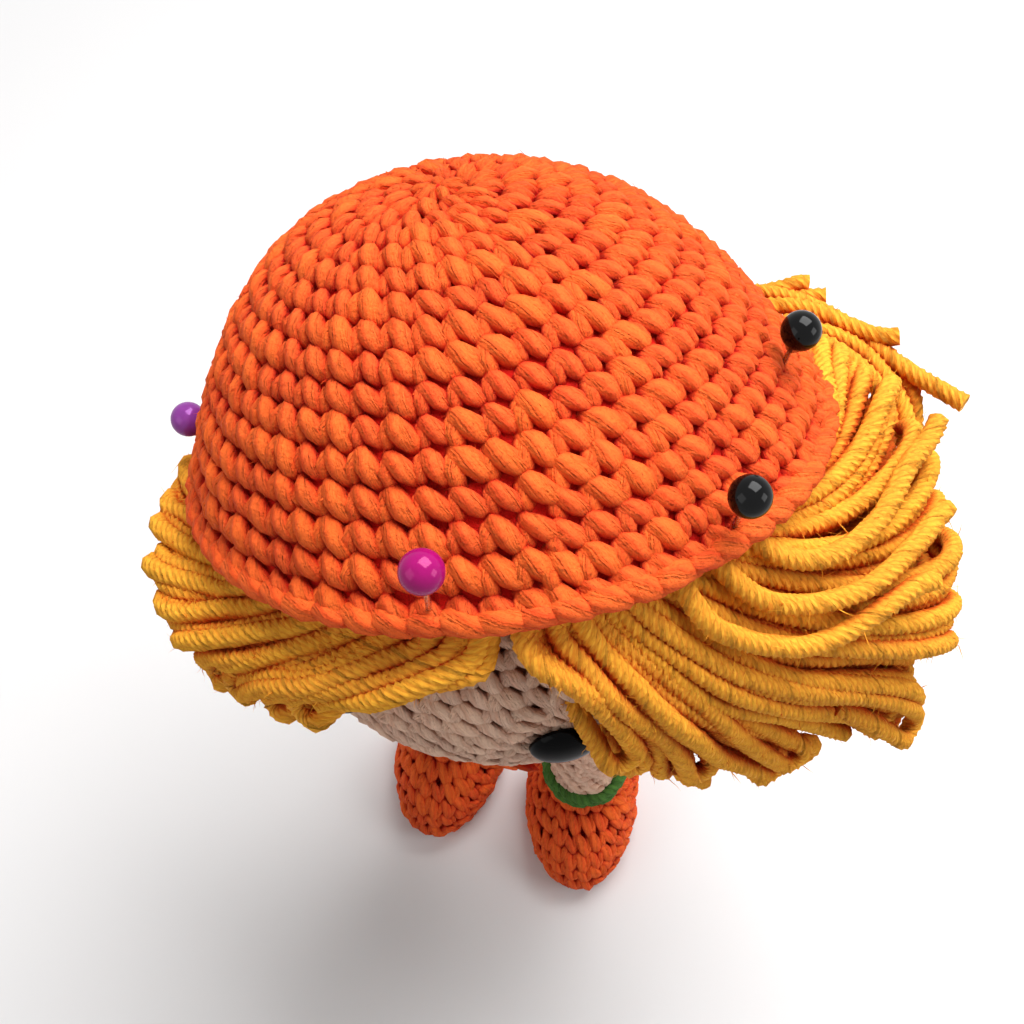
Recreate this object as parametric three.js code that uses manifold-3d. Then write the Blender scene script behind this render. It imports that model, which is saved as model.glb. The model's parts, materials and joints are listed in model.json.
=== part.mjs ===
// Amigurumi doll: crocheted head, body and limbs filled with stuffing, yarn hair, and a hat that is
// still held on by ball-head pins. Millimetres, +Z up, the doll faces -Y and its own left is +X.
import * as THREE from "three";
import { mergeVertices } from "three/addons/utils/BufferGeometryUtils.js";
import Module from "manifold-3d";

const wasm = await Module();
wasm.setup();

// Driving dimensions
const gap = 0.3; // between pieces that touch
const weld = gap / 1000; // corners closer than this are one
const overrun = 2; // how far a cutter runs past the face that it opens
const fabricWall = 2.6; // thickness of single crochet in this yarn
const limbWall = 1.8; // the limbs and shoes are worked tighter
const degrees = Math.PI / 180;

const bodyBottomHeight = 52;
const neckTopHeight = 103.2;
const neckShowing = 1.8; // from the top of the body to the bottom of the head

const headRadius = 37;
const headHalfHeight = 36;
const headCentreHeight = neckTopHeight + neckShowing + headHalfHeight;

const hatLooseness = 5; // how far the hat's rim stands out from the head
const hatRimRadius = headRadius + hatLooseness;
const hatDepth = 33.6;
const hatWall = 3;
const hatLean = { back: 23.44 * degrees, side: 15.9 * degrees };
const hatOffset = { side: -1.57, back: 4.27, up: 8.18 }; // rim centre from the head's centre
const hatSlump = { side: -0.09, back: -0.012 }; // sideways shift of the crown per unit of depth
const hatCrownShares = { power: 1.067, root: 2.714 };
const hatRoundingShare = 1.6; // packs the hat's rounds of facets towards the crown

const eyeRadius = 4.5;
const eyeDomeHeight = 3.6;
const eyeShankRadius = 1.6;
const eyeShankLength = 8.5;
const eyeAzimuth = 25 * degrees;
const eyeDip = 3 * degrees;
const washerRadius = 5;
const washerThickness = 1.2;

const pinHeadRadius = 2.4;
const pinNeckRadius = 0.85;
const pinNeckLength = 3.3; // from the ball's centre to the end of its collar
const pinShaftRadius = 0.35;
const pinLength = 30; // from the ball's centre to the point
const pinTipLength = 2.2;
const pinCollarTurn = 20 * degrees; // how far round the ball its collar's flare reaches

const torsoSetBack = 2; // how far the body's axis lies behind the head's centre
const bodyRadius = 17;
const bodyShares = [ // height and radius, from the bottom to the mouth of the neck
  [0, 0], [0.012, 0.18], [0.04, 0.34], [0.1, 0.6], [0.18, 0.83], [0.25, 0.96], [0.33, 1],
  [0.41, 0.98], [0.49, 0.92], [0.565, 0.845], [0.645, 0.76], [0.723, 0.68], [0.8, 0.615],
  [0.86, 0.565], [0.92, 0.535], [1, 0.518],
];
const neckPivotDepth = 3.2; // from the top of the body to the neck's pivot
const neckPivotHeight = neckTopHeight - neckPivotDepth;
const neckColumnRadius = 4.8;
const neckBallRadius = 5.6;
const neckColumnReach = 9; // how far the column reaches up into the head
const neckPlay = 1.3; // room round the column in the mouth of the body's neck

const legRadius = 7.5;
const legShares = [[0, 1], [0.35, 0.94], [0.7, 0.92], [1, 0.96], [1.1, 0.96]];
const hipHeight = 58;
const hipSpacing = 13; // from the middle to a hip's pivot

const shoulderDrop = 7; // from the neck's pivot to the shoulders'
const shoulderHeight = neckPivotHeight - shoulderDrop;
const shoulderFlat = 0.2; // how much the body flattens the top of the arm
const shoulderPlay = 0.55; // between the arm's flat and the body, so that the arm swings free
const armRadius = 5.2;
const armShares = [ // length from the pivot and radius, down to where the hand's end starts
  [0, 1], [0.33, 0.9], [0.66, 0.87], [0.88, 0.97], [1, 1.02],
];
const handDrop = 1; // how far the arm reaches past the hips
const handRoom = 2.5; // between the hand and the top of the leg
const armLength = shoulderHeight - hipHeight + handDrop; // from the pivot to the middle of the hand

const ankleHeight = 17.5;
const ankleSpacing = 15.5;
const ankleSetBack = { left: 4.5, right: 8.6 };
const toeOut = { left: 10 * degrees, right: 0 };

const shoeHalfWidth = 12;
const shoeShares = [ // height, half width, reach of the toe and of the heel, from the sole up
  [0, 0.88, 0.92, 0.86], [0.09, 0.97, 0.975, 0.95], [0.29, 1, 1, 1], [0.51, 0.97, 0.92, 0.985],
  [0.71, 0.85, 0.7, 0.92], [0.87, 0.68, 0.42, 0.78], [1, 0.625, 0.341, 0.714],
];
const shoeToeReach = 22; // from the middle of the ankle to the toe
const shoeHeelReach = 10.5;
const insoleThickness = 1.2;
const trimHalfWidth = 0.75;
const trimHalfHeight = 1.5;

const jointYarnRadius = 1.1;
const jointKnotRadius = 1.5;

// Hair: azimuth from the face towards the doll's left, then the radius and height of the outward
// swell, the radius and height of the ends, and the thickness, as shares of the head's radius
const hairShares = [
  [-180, 1.2, -0.47, 1.19, -0.76, 0.14],
  [-120, 1.25, -0.42, 1.22, -0.7, 0.14],
  [-95, 1.3, -0.25, 1.24, -0.59, 0.17],
  [-70, 1.32, 0, 1.24, -0.38, 0.17],
  [-53, 1.34, 0.12, 1.3, -0.14, 0.15],
  [-36, 1.24, 0.2, 1.25, -0.06, 0.13],
  [-24, 1.17, 0.33, 1.17, 0.14, 0.11],
  [-12, 1.11, 0.43, 1.09, 0.24, 0.1],
  [2, 1.03, 0.57, 1.03, 0.42, 0.09],
  [13, 0.93, 0.66, 0.95, 0.58, 0.08],
  [23, 1, 0.58, 1.01, 0.47, 0.09],
  [30, 1.07, 0.46, 1.07, 0.28, 0.1],
  [37, 1.12, 0.32, 1.12, 0, 0.12],
  [43, 1.16, 0.22, 1.15, -0.27, 0.14],
  [53, 1.22, 0.11, 1.18, -0.68, 0.18],
  [67, 1.35, 0.08, 1.38, -0.59, 0.25],
  [80, 1.59, 0.08, 1.68, -0.46, 0.3],
  [89, 1.65, 0.05, 1.66, -0.49, 0.3],
  [100, 1.54, 0.11, 1.54, -0.51, 0.28],
  [115, 1.35, 0.27, 1.35, -0.57, 0.22],
  [132, 1.27, 0, 1.27, -0.65, 0.17],
  [150, 1.22, -0.2, 1.22, -0.73, 0.15],
  [180, 1.2, -0.47, 1.19, -0.76, 0.14],
];
const hairTuck = 6.5; // how far the locks reach up under the hat's rim
const lockDepth = 0.8; // height of the strand bundles on a lock's face
const lockDrop = 1.6; // how far the bundles' ends differ
// Each lock's stretch of the hat's rim, in degrees of the rim from the doll's left to its back
const locks = {
  hair_front_right: [288, 236],
  hair_side_right: [235, 181],
  hair_back_right: [180, 129],
  hair_back: [128, 77],
  hair_back_left: [76, 25],
  hair_bunch_left: [24, -37],
  hair_front_left: [-38, -70],
};

// Pins: where each enters the hat (degrees of the rim, share of the hat's depth), how far it leans
// inwards from straight down, and how much of it shows from the ball's centre to the hat
const pins = [
  { name: "magenta", azimuth: 279, depthShare: 0.08, inward: 4 * degrees, shown: 9.6, look: "magenta" },
  { name: "black_front", azimuth: 329, depthShare: 0.08, inward: 6 * degrees, shown: 6.2, look: "gloss" },
  { name: "black_side", azimuth: 5, depthShare: 0.29, inward: 8 * degrees, shown: 5.2, look: "gloss" },
  { name: "purple", azimuth: 189, depthShare: 0.02, inward: 45 * degrees, shown: 3.9, look: "purple" },
];

// Facets round each kind of piece, and rows of facets along it
const facets = { head: 32, hat: 36, body: 24, limb: 14, filling: 16, small: 10, tiny: 5 };
const rows = { hat: 9, pin: 6, lock: 5, eye: 4, body: 13, neck: 6, knot: 4, limb: 5, limbEnd: 4, trim: 6 };
const lockBundles = { count: 4, steps: 3 }; // strand bundles on a lock's face, and facets over each

// Solids: join and cut

function solid(geometry) {
  const bare = geometry.index ? geometry.clone() : geometry;
  bare.deleteAttribute("normal");
  bare.deleteAttribute("uv");
  const merged = mergeVertices(bare, weld);
  const mesh = new wasm.Mesh({
    numProp: 3,
    vertProperties: new Float32Array(merged.attributes.position.array),
    triVerts: new Uint32Array(merged.index.array),
  });
  return new wasm.Manifold(mesh);
}

function geometryOf(manifold) {
  const mesh = manifold.getMesh();
  const geometry = new THREE.BufferGeometry();
  const places = new Float32Array(mesh.numVert * 3);
  for (let i = 0; i < mesh.numVert; i++) {
    for (let k = 0; k < 3; k++) {
      places[i * 3 + k] = mesh.vertProperties[i * mesh.numProp + k];
    }
  }
  geometry.setAttribute("position", new THREE.BufferAttribute(places, 3));
  geometry.setIndex(new THREE.BufferAttribute(new Uint32Array(mesh.triVerts), 1));
  geometry.computeVertexNormals();
  return geometry;
}

function cut(body, ...cutters) {
  return cutters.reduce((left, cutter) => left.subtract(cutter), body);
}

// Forms

// A solid of revolution about Z. The profile runs upwards on its outside, as [radius, height] pairs.
function turned(profile, sides) {
  const points = profile.map(([radius, height]) => new THREE.Vector2(radius, height));
  const geometry = new THREE.LatheGeometry(points, sides);
  geometry.rotateX(Math.PI / 2);
  return geometry;
}

function ball(radius, halfHeight, sides) {
  const geometry = new THREE.SphereGeometry(radius, sides, Math.round(sides / 2));
  geometry.rotateX(Math.PI / 2);
  geometry.scale(1, 1, halfHeight / radius);
  return geometry;
}

// A cylinder along Z from one height to another.
function rod(radius, low, high, sides) {
  return turned([[0, low], [radius, low], [radius, high], [0, high]], sides);
}

// A closed skin over rings of equally many points, the first ring at the bottom and each ring
// running anticlockwise seen from above. Both ends are closed by a fan from the ring's middle.
function lofted(rings) {
  const count = rings[0].length;
  const places = rings.flat().flatMap((point) => point.toArray());
  const faces = [];
  rings.slice(1).forEach((ring, r) => {
    for (let i = 0; i < count; i++) {
      const next = (i + 1) % count;
      const low = r * count;
      const high = low + count;
      faces.push(low + i, low + next, high + next, low + i, high + next, high + i);
    }
  });
  const ends = [rings[0], rings[rings.length - 1]];
  ends.forEach((ring, end) => {
    const middle = ring.reduce((sum, p) => sum.add(p), new THREE.Vector3()).divideScalar(count);
    const centre = places.length / 3;
    const first = end * (rings.length - 1) * count;
    places.push(...middle.toArray());
    for (let i = 0; i < count; i++) {
      const next = (i + 1) % count;
      faces.push(centre, first + (end ? i : next), first + (end ? next : i));
    }
  });
  const geometry = new THREE.BufferGeometry();
  geometry.setAttribute("position", new THREE.Float32BufferAttribute(places, 3));
  geometry.setIndex(faces);
  return geometry;
}

function moved(geometry, place, turn = new THREE.Quaternion()) {
  const matrix = new THREE.Matrix4().compose(place, turn, new THREE.Vector3(1, 1, 1));
  return geometry.clone().applyMatrix4(matrix);
}

function at(x, y, z) {
  return new THREE.Vector3(x, y, z);
}

function turnFromZ(direction) {
  return new THREE.Quaternion().setFromUnitVectors(at(0, 0, 1), direction.clone().normalize());
}

// Scene graph

const doll = new THREE.Group();

const looks = {
  skin: { color: 0xe9d8c2, roughness: 0.95 },
  clothing: { color: 0xd9532a, roughness: 0.95 },
  hair: { color: 0xe0a02c, roughness: 0.9 },
  trim: { color: 0x4f7a3a, roughness: 0.95 },
  filling: { color: 0xf2f0ea, roughness: 1 },
  board: { color: 0xb9a27c, roughness: 0.9 },
  gloss: { color: 0x0d0d0f, roughness: 0.12 },
  magenta: { color: 0xc01a7a, roughness: 0.2 },
  purple: { color: 0xa04aa8, roughness: 0.2 },
  steel: { color: 0xc9ccd0, roughness: 0.25, metalness: 1 },
};

function add(name, manifold, look) {
  const material = new THREE.MeshStandardMaterial({ metalness: 0, ...looks[look] });
  const mesh = new THREE.Mesh(geometryOf(manifold), material);
  mesh.name = name;
  doll.add(mesh);
}

// Places that several pieces share

const headCentre = at(0, 0, headCentreHeight);
const neckPivot = at(0, torsoSetBack, neckPivotHeight);
const sides = { left: 1, right: -1 };

function headForm(inset, count = facets.head) {
  return solid(moved(ball(headRadius - inset, headHalfHeight - inset, count), headCentre));
}

// Hat

const hatTurn = new THREE.Quaternion().setFromEuler(
  new THREE.Euler(-hatLean.back, -hatLean.side, 0, "YXZ"),
);
const rimCentre = headCentre.clone().add(at(hatOffset.side, hatOffset.back, hatOffset.up));

function hatRadiusAt(share) {
  return hatRimRadius * (1 - share ** hatCrownShares.power) ** (1 / hatCrownShares.root);
}

// A point of the hat's own frame, leaning with the crown, in the doll's frame.
function fromHat(point) {
  const slumped = at(
    point.x + hatSlump.side * point.z,
    point.y + hatSlump.back * point.z,
    point.z,
  );
  return slumped.applyQuaternion(hatTurn).add(rimCentre);
}

// The hat's bowl between its outer and inner face, grown by a margin on every side.
function hatBowl(margin) {
  const outer = [];
  const inner = [];
  for (let i = 0; i <= rows.hat; i++) {
    const share = 1 - (1 - i / rows.hat) ** hatRoundingShare;
    const reach = hatRadiusAt(share);
    outer.push([share === 1 ? 0 : reach + margin, hatDepth * share + (share === 1 ? margin : 0)]);
    const innerReach = Math.max(reach - hatWall - margin, 0);
    const innerHeight = (hatDepth - hatWall) * share - (share === 1 ? margin : 0);
    inner.push([share === 1 ? 0 : innerReach, innerHeight]);
  }
  const lip = [
    [hatRimRadius - hatWall - margin, -margin],
    [hatRimRadius + margin, -margin],
  ];
  const profile = [...inner.reverse(), ...lip.slice(margin ? 0 : 2), ...outer];
  const geometry = turned(profile, facets.hat);
  const place = geometry.attributes.position;
  for (let i = 0; i < place.count; i++) {
    const point = fromHat(new THREE.Vector3().fromBufferAttribute(place, i));
    place.setXYZ(i, point.x, point.y, point.z);
  }
  return solid(geometry);
}

// Pins

const pinPlaces = pins.map((pin) => {
  const reach = hatRadiusAt(pin.depthShare);
  const angle = pin.azimuth * degrees;
  const height = hatDepth * pin.depthShare;
  const entry = fromHat(at(reach * Math.cos(angle), reach * Math.sin(angle), height));
  const outward = entry.clone().sub(headCentre).setZ(0).normalize();
  const out = outward.multiplyScalar(Math.sin(pin.inward)).setZ(Math.cos(pin.inward));
  const place = entry.clone().addScaledVector(out, pin.shown);
  return { ...pin, place, turn: turnFromZ(out) };
});

// The way of a pin through the hat, the hair and the head down to its point, and of its ball outwards.
function pinTunnel({ place, turn }) {
  const low = -pinLength - gap;
  const clear = pinHeadRadius + gap;
  const shaft = solid(moved(rod(pinShaftRadius + gap, low, 0, facets.tiny), place, turn));
  const way = solid(moved(rod(clear, 0, pinLength, facets.small), place, turn));
  return shaft.add(way).add(solid(moved(ball(clear, clear, facets.small), place, turn)));
}

const tunnels = pinPlaces.map(pinTunnel);

function addPin(pin) {
  const neckAngle = Math.asin(pinNeckRadius / pinHeadRadius) + pinCollarTurn;
  const profile = [[0, -pinNeckLength], [pinNeckRadius, -pinNeckLength]];
  for (let i = 0; i < rows.pin; i++) {
    const angle = neckAngle + (Math.PI - neckAngle) * (i / rows.pin);
    profile.push([pinHeadRadius * Math.sin(angle), -pinHeadRadius * Math.cos(angle)]);
  }
  profile.push([0, pinHeadRadius]);
  const head = turned(profile, facets.small);
  add(`pin_head_${pin.name}`, solid(moved(head, pin.place, pin.turn)), pin.look);
  const shaft = turned([
    [0, -pinLength],
    [pinShaftRadius, pinTipLength - pinLength],
    [pinShaftRadius, -pinNeckLength - gap],
    [0, -pinNeckLength - gap],
  ], facets.tiny);
  add(`pin_shaft_${pin.name}`, solid(moved(shaft, pin.place, pin.turn)), "steel");
}

// Hair

function hairAt(azimuth) {
  const next = Math.max(1, hairShares.findIndex(([angle]) => angle >= azimuth));
  const [before, after] = [hairShares[next - 1], hairShares[next]];
  const share = (azimuth - before[0]) / (after[0] - before[0]);
  const eased = share * share * (3 - 2 * share);
  const values = before.map((value, i) => headRadius * (value + (after[i] - value) * eased));
  const [, swellRadius, swellHeight, endRadius, endHeight, thickness] = values;
  return { swellRadius, swellHeight, endRadius, endHeight, thickness };
}

// The outer and inner edge of the hair over one place of the rim; bundle runs from 0 to 1 and back.
function hairStation(rimAzimuth, bundle) {
  const angle = rimAzimuth * degrees;
  const inWall = (height) => {
    const reach = hatRadiusAt(height / hatDepth) - hatWall / 2;
    return fromHat(at(reach * Math.cos(angle), reach * Math.sin(angle), height));
  };
  const rim = inWall(0);
  const side = Math.atan2(rim.x, headCentre.y - rim.y);
  const hair = hairAt(side / degrees);
  const fromHead = (radius, height) =>
    at(radius * Math.sin(side), -radius * Math.cos(side), height).add(headCentre);
  const rimRadius = Math.hypot(rim.x, rim.y);
  const rimHeight = rim.z - headCentreHeight;
  const swell = hair.swellRadius + lockDepth * bundle;
  const end = hair.endRadius + lockDepth * bundle;
  const endHeight = hair.endHeight - lockDrop * bundle;
  const curve = new THREE.SplineCurve([
    new THREE.Vector2(rimRadius, rimHeight),
    new THREE.Vector2(rimRadius + gap, rimHeight - hatWall),
    new THREE.Vector2(swell, hair.swellHeight),
    new THREE.Vector2(end, endHeight),
  ]);
  const outer = [inWall(hairTuck), rim];
  const inner = [];
  for (let i = 1; i <= rows.lock; i++) {
    const point = curve.getPoint(i / rows.lock);
    outer.push(fromHead(point.x, point.y));
  }
  for (let i = 0; i <= rows.lock + 1; i++) {
    const share = Math.max(0, (i - 1) / rows.lock);
    const point = outer[i].clone().sub(headCentre);
    const flat = at(point.x, point.y, 0);
    const under = Math.sqrt(Math.max(0, 1 - (point.z / headHalfHeight) ** 2)) * headRadius;
    const thickness = hatWall + (hair.thickness - hatWall) * share;
    const free = flat.length() - Math.max(thickness, fabricWall);
    // close to the head the lock lies on it, so its inner edge goes into the cut that the head makes
    const inside = free < under + fabricWall ? Math.min(free, under - gap) : free;
    inner.push(flat.setLength(inside).setZ(point.z).add(headCentre));
  }
  return { outer, inner };
}

// A closed band between stations that each have an outer and an inner edge of equally many points.
function banded(stations) {
  const count = stations[0].outer.length;
  const places = stations.flatMap(({ outer, inner }) => [...outer, ...inner])
    .flatMap((point) => point.toArray());
  const faces = [];
  const quad = (a, b, c, d) => faces.push(a, b, c, a, c, d);
  const outerAt = (s, i) => s * 2 * count + i;
  const innerAt = (s, i) => s * 2 * count + count + i;
  for (let s = 0; s + 1 < stations.length; s++) {
    for (let i = 0; i + 1 < count; i++) {
      quad(outerAt(s, i), outerAt(s + 1, i), outerAt(s + 1, i + 1), outerAt(s, i + 1));
      quad(innerAt(s, i), innerAt(s, i + 1), innerAt(s + 1, i + 1), innerAt(s + 1, i));
    }
    quad(outerAt(s, 0), innerAt(s, 0), innerAt(s + 1, 0), outerAt(s + 1, 0));
    const last = count - 1;
    quad(outerAt(s, last), outerAt(s + 1, last), innerAt(s + 1, last), innerAt(s, last));
  }
  const end = stations.length - 1;
  for (let i = 0; i + 1 < count; i++) {
    quad(outerAt(0, i), outerAt(0, i + 1), innerAt(0, i + 1), innerAt(0, i));
    quad(outerAt(end, i), innerAt(end, i), innerAt(end, i + 1), outerAt(end, i + 1));
  }
  const geometry = new THREE.BufferGeometry();
  geometry.setAttribute("position", new THREE.Float32BufferAttribute(places, 3));
  geometry.setIndex(faces);
  return geometry;
}

function addLock(name, [from, to], cutters) {
  const steps = lockBundles.count * lockBundles.steps;
  const stations = [];
  for (let i = 0; i <= steps; i++) {
    const bundle = Math.abs(Math.sin((Math.PI * i) / lockBundles.steps));
    stations.push(hairStation(from + ((to - from) * i) / steps, bundle));
  }
  add(name, cut(solid(banded(stations)), ...cutters), "hair");
}

// Head

const eyePlaces = Object.entries(sides).map(([side, sign]) => {
  const across = Math.cos(eyeDip);
  const ahead = -across * Math.cos(eyeAzimuth);
  const axis = at(sign * across * Math.sin(eyeAzimuth), ahead, -Math.sin(eyeDip));
  const place = headCentre.clone().addScaledVector(axis, headRadius + gap);
  return { side, place, turn: turnFromZ(axis) };
});

function addHead() {
  const inside = headForm(fabricWall, facets.filling);
  const columnTop = headCentreHeight - headHalfHeight + neckColumnReach;
  const mouth = solid(moved(
    rod(neckColumnRadius + gap, neckPivotHeight, columnTop + gap, facets.limb),
    at(0, torsoSetBack, 0),
  ));
  const washerDepth = fabricWall + washerThickness + gap * 4;
  const shankHoles = eyePlaces.map(({ place, turn }) =>
    solid(moved(rod(eyeShankRadius + gap, -eyeShankLength - gap, overrun, facets.small), place, turn)));
  const washerHoles = eyePlaces.map(({ place, turn }) => solid(moved(
    rod(washerRadius + gap, -washerDepth - washerThickness - gap, overrun, facets.small),
    place,
    turn,
  )));
  add("head_cover", cut(headForm(0), inside, mouth, ...shankHoles, ...tunnels), "skin");
  const filling = headForm(fabricWall + gap, facets.filling);
  add("head_stuffing", cut(filling, mouth, ...shankHoles, ...washerHoles, ...tunnels), "filling");
  eyePlaces.forEach(({ side, place, turn }) => {
    const profile = [[0, -eyeShankLength], [eyeShankRadius, -eyeShankLength], [eyeShankRadius, 0]];
    for (let i = 0; i < rows.eye; i++) {
      const angle = (Math.PI / 2) * (i / rows.eye);
      profile.push([eyeRadius * Math.cos(angle), eyeDomeHeight * Math.sin(angle)]);
    }
    profile.push([0, eyeDomeHeight]);
    add(`eye_${side}`, solid(moved(turned(profile, facets.limb), place, turn)), "gloss");
    const disc = solid(rod(washerRadius, -washerDepth - washerThickness, -washerDepth, facets.limb));
    const bore = solid(rod(eyeShankRadius + gap, -eyeShankLength - overrun, 0, facets.small));
    const washer = geometryOf(cut(disc, bore));
    add(`eye_washer_${side}`, solid(moved(washer, place, turn)), "filling");
  });
}

// Body

const bodyLine = new THREE.SplineCurve(bodyShares.map(([height, radius]) => new THREE.Vector2(
  radius * bodyRadius,
  bodyBottomHeight + height * (neckTopHeight - bodyBottomHeight),
)));

function bodyRadiusAt(height) {
  const points = bodyLine.getPoints(facets.hat);
  return points.find((point) => point.y >= height).x;
}

const shoulderSpacing = bodyRadiusAt(shoulderHeight) + shoulderPlay + armRadius - shoulderFlat;
const handSpacing = hipSpacing + legRadius + handRoom + armRadius;
const armSplay = Math.asin((handSpacing - shoulderSpacing) / armLength);

// The body between the legs' slots, drawn in by an inset on every side but the neck's mouth.
function bodyForm(inset) {
  const profile = [[0, bodyBottomHeight + inset]];
  bodyLine.getPoints(rows.body).forEach((point) => {
    const radius = point.x - inset;
    if (radius > 0 && point.y > bodyBottomHeight + inset) profile.push([radius, point.y]);
  });
  profile.push([0, neckTopHeight]);
  const form = solid(moved(turned(profile, facets.body), at(0, torsoSetBack, 0)));
  const inner = hipSpacing - legRadius - gap - inset;
  const outer = bodyRadius + overrun;
  const shelf = hipHeight + legRadius + gap + inset;
  const foot = bodyBottomHeight - overrun;
  const slots = Object.values(sides).map((sign) => {
    const box = new THREE.BoxGeometry(outer - inner, outer * 2, shelf - foot);
    return solid(moved(box, at((sign * (outer + inner)) / 2, torsoSetBack, (shelf + foot) / 2)));
  });
  return cut(form, ...slots);
}

// A yarn across the body, from knot to knot, grown by a margin.
function jointYarn(spacing, height, margin, knotted) {
  const half = [[jointYarnRadius + margin, 0]];
  const knot = knotted ? jointKnotRadius + margin : jointYarnRadius + margin;
  const start = Math.asin((jointYarnRadius + margin) / knot);
  for (let i = 0; i < rows.knot; i++) {
    const angle = start + (Math.PI - start) * (i / rows.knot);
    half.push([knot * Math.sin(angle), spacing - knot * Math.cos(angle)]);
  }
  half.push([0, spacing + knot]);
  const mirrored = half.slice(1).reverse().map(([radius, place]) => [radius, -place]);
  const across = new THREE.Quaternion().setFromAxisAngle(at(0, 1, 0), Math.PI / 2);
  return solid(moved(turned([...mirrored, ...half], facets.small), at(0, torsoSetBack, height), across));
}

function addBody() {
  const channels = [
    jointYarn(shoulderSpacing, shoulderHeight, gap, false),
    jointYarn(hipSpacing, hipHeight, gap, false),
  ];
  const mouth = solid(moved(
    rod(neckColumnRadius + neckPlay, neckPivotHeight - neckBallRadius, neckTopHeight + overrun, facets.limb),
    at(0, torsoSetBack, 0),
  ));
  add("body_cover", cut(bodyForm(0), bodyForm(fabricWall), mouth, ...channels), "clothing");
  const socket = solid(moved(ball(neckBallRadius + gap, neckBallRadius + gap, facets.limb), neckPivot));
  const fillTop = neckPivotHeight - neckBallRadius / 2;
  const above = solid(moved(
    rod(bodyRadius, fillTop, neckTopHeight + overrun, facets.small),
    at(0, torsoSetBack, 0),
  ));
  add("body_stuffing", cut(bodyForm(fabricWall + gap), socket, above, ...channels), "filling");

  const profile = [[0, -neckBallRadius]];
  const last = Math.acos(neckColumnRadius / neckBallRadius);
  for (let i = 1; i <= rows.neck; i++) {
    const angle = -Math.PI / 2 + (last + Math.PI / 2) * (i / rows.neck);
    profile.push([neckBallRadius * Math.cos(angle), neckBallRadius * Math.sin(angle)]);
  }
  const top = headCentreHeight - headHalfHeight + neckColumnReach - neckPivotHeight;
  profile.push([neckColumnRadius, top - gap * 2], [0, top]);
  add("neck_stuffing", solid(moved(turned(profile, facets.limb), neckPivot)), "filling");
}

// Limbs

// A limb hanging from its pivot: a round top, then radii along its length, drawn in by an inset.
function limbForm(radius, length, shares, inset, roundEnd) {
  const line = new THREE.SplineCurve(shares.map(([along, width]) =>
    new THREE.Vector2(radius * width - inset, -length * along)));
  const down = line.getPoints(rows.limb);
  const profile = [];
  const last = down[down.length - 1];
  for (let i = 0; roundEnd && i < rows.limbEnd; i++) {
    const angle = (Math.PI / 2) * (i / rows.limbEnd);
    profile.push([last.x * Math.sin(angle), last.y - last.x * Math.cos(angle)]);
  }
  if (!roundEnd) profile.push([0, last.y]);
  profile.push(...down.reverse().map((point) => [point.x, point.y]));
  for (let i = 1; i <= rows.limbEnd; i++) {
    const angle = (Math.PI / 2) * (i / rows.limbEnd);
    profile.push([(radius - inset) * Math.cos(angle), (radius - inset) * Math.sin(angle)]);
  }
  profile[profile.length - 1][0] = 0;
  return turned(profile, facets.limb);
}

function addArm(side) {
  const sign = sides[side];
  const pivot = at(sign * shoulderSpacing, torsoSetBack, shoulderHeight);
  const turn = new THREE.Quaternion().setFromAxisAngle(at(0, 1, 0), -sign * armSplay);
  const form = (inset) => {
    const limb = solid(moved(limbForm(armRadius, armLength, armShares, inset, true), pivot, turn));
    const flat = shoulderSpacing - armRadius + shoulderFlat + inset;
    const box = new THREE.BoxGeometry(flat, armLength, armLength);
    return cut(limb, solid(moved(box, at((sign * flat) / 2, torsoSetBack, shoulderHeight))));
  };
  const knot = jointYarn(shoulderSpacing, shoulderHeight, gap, true);
  const channel = jointYarn(shoulderSpacing, shoulderHeight, gap, false);
  add(`arm_cover_${side}`, cut(form(0), form(limbWall), channel), "skin");
  add(`arm_stuffing_${side}`, cut(form(limbWall + gap), knot), "filling");
}

function addLeg(side) {
  const sign = sides[side];
  const pivot = at(sign * hipSpacing, torsoSetBack, hipHeight);
  const ankle = at(sign * ankleSpacing, ankleSetBack[side], ankleHeight);
  const down = pivot.clone().sub(ankle);
  const turn = turnFromZ(down);
  const underAnkle = (height) => {
    const deep = legRadius * 2;
    const box = new THREE.BoxGeometry(deep * 2, deep * 2, deep);
    return solid(moved(box, at(ankle.x, ankle.y, height - deep / 2)));
  };
  const form = (inset) => {
    const limb = limbForm(legRadius, down.length(), legShares, inset, false);
    return solid(moved(limb, pivot, turn));
  };
  const floor = underAnkle(ankleHeight + gap);
  const knot = jointYarn(hipSpacing, hipHeight, gap, true);
  const channel = jointYarn(hipSpacing, hipHeight, gap, false);
  add(`leg_cover_${side}`, cut(form(0), form(limbWall), floor, channel), "skin");
  add(`leg_stuffing_${side}`, cut(form(limbWall + gap), floor, knot), "filling");
}

// Feet

function footRing(share, inset, side) {
  const next = Math.max(1, shoeShares.findIndex(([height]) => height >= share));
  const [before, after] = [shoeShares[next - 1], shoeShares[next]];
  const along = (share - before[0]) / (after[0] - before[0]);
  const [, width, toe, heel] = before.map((value, i) => value + (after[i] - value) * along);
  const ring = [];
  for (let i = 0; i < facets.filling; i++) {
    const angle = (2 * Math.PI * i) / facets.filling;
    const reach = Math.cos(angle) > 0 ? shoeToeReach * toe - inset : shoeHeelReach * heel - inset;
    const across = (shoeHalfWidth * width - inset) * Math.sin(angle);
    ring.push(at(across, -reach * Math.cos(angle), ankleHeight * share));
  }
  const turn = new THREE.Quaternion().setFromAxisAngle(at(0, 0, 1), sides[side] * toeOut[side]);
  const foot = at(sides[side] * ankleSpacing, ankleSetBack[side], 0);
  return ring.map((point) => point.applyQuaternion(turn).add(foot));
}

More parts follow.
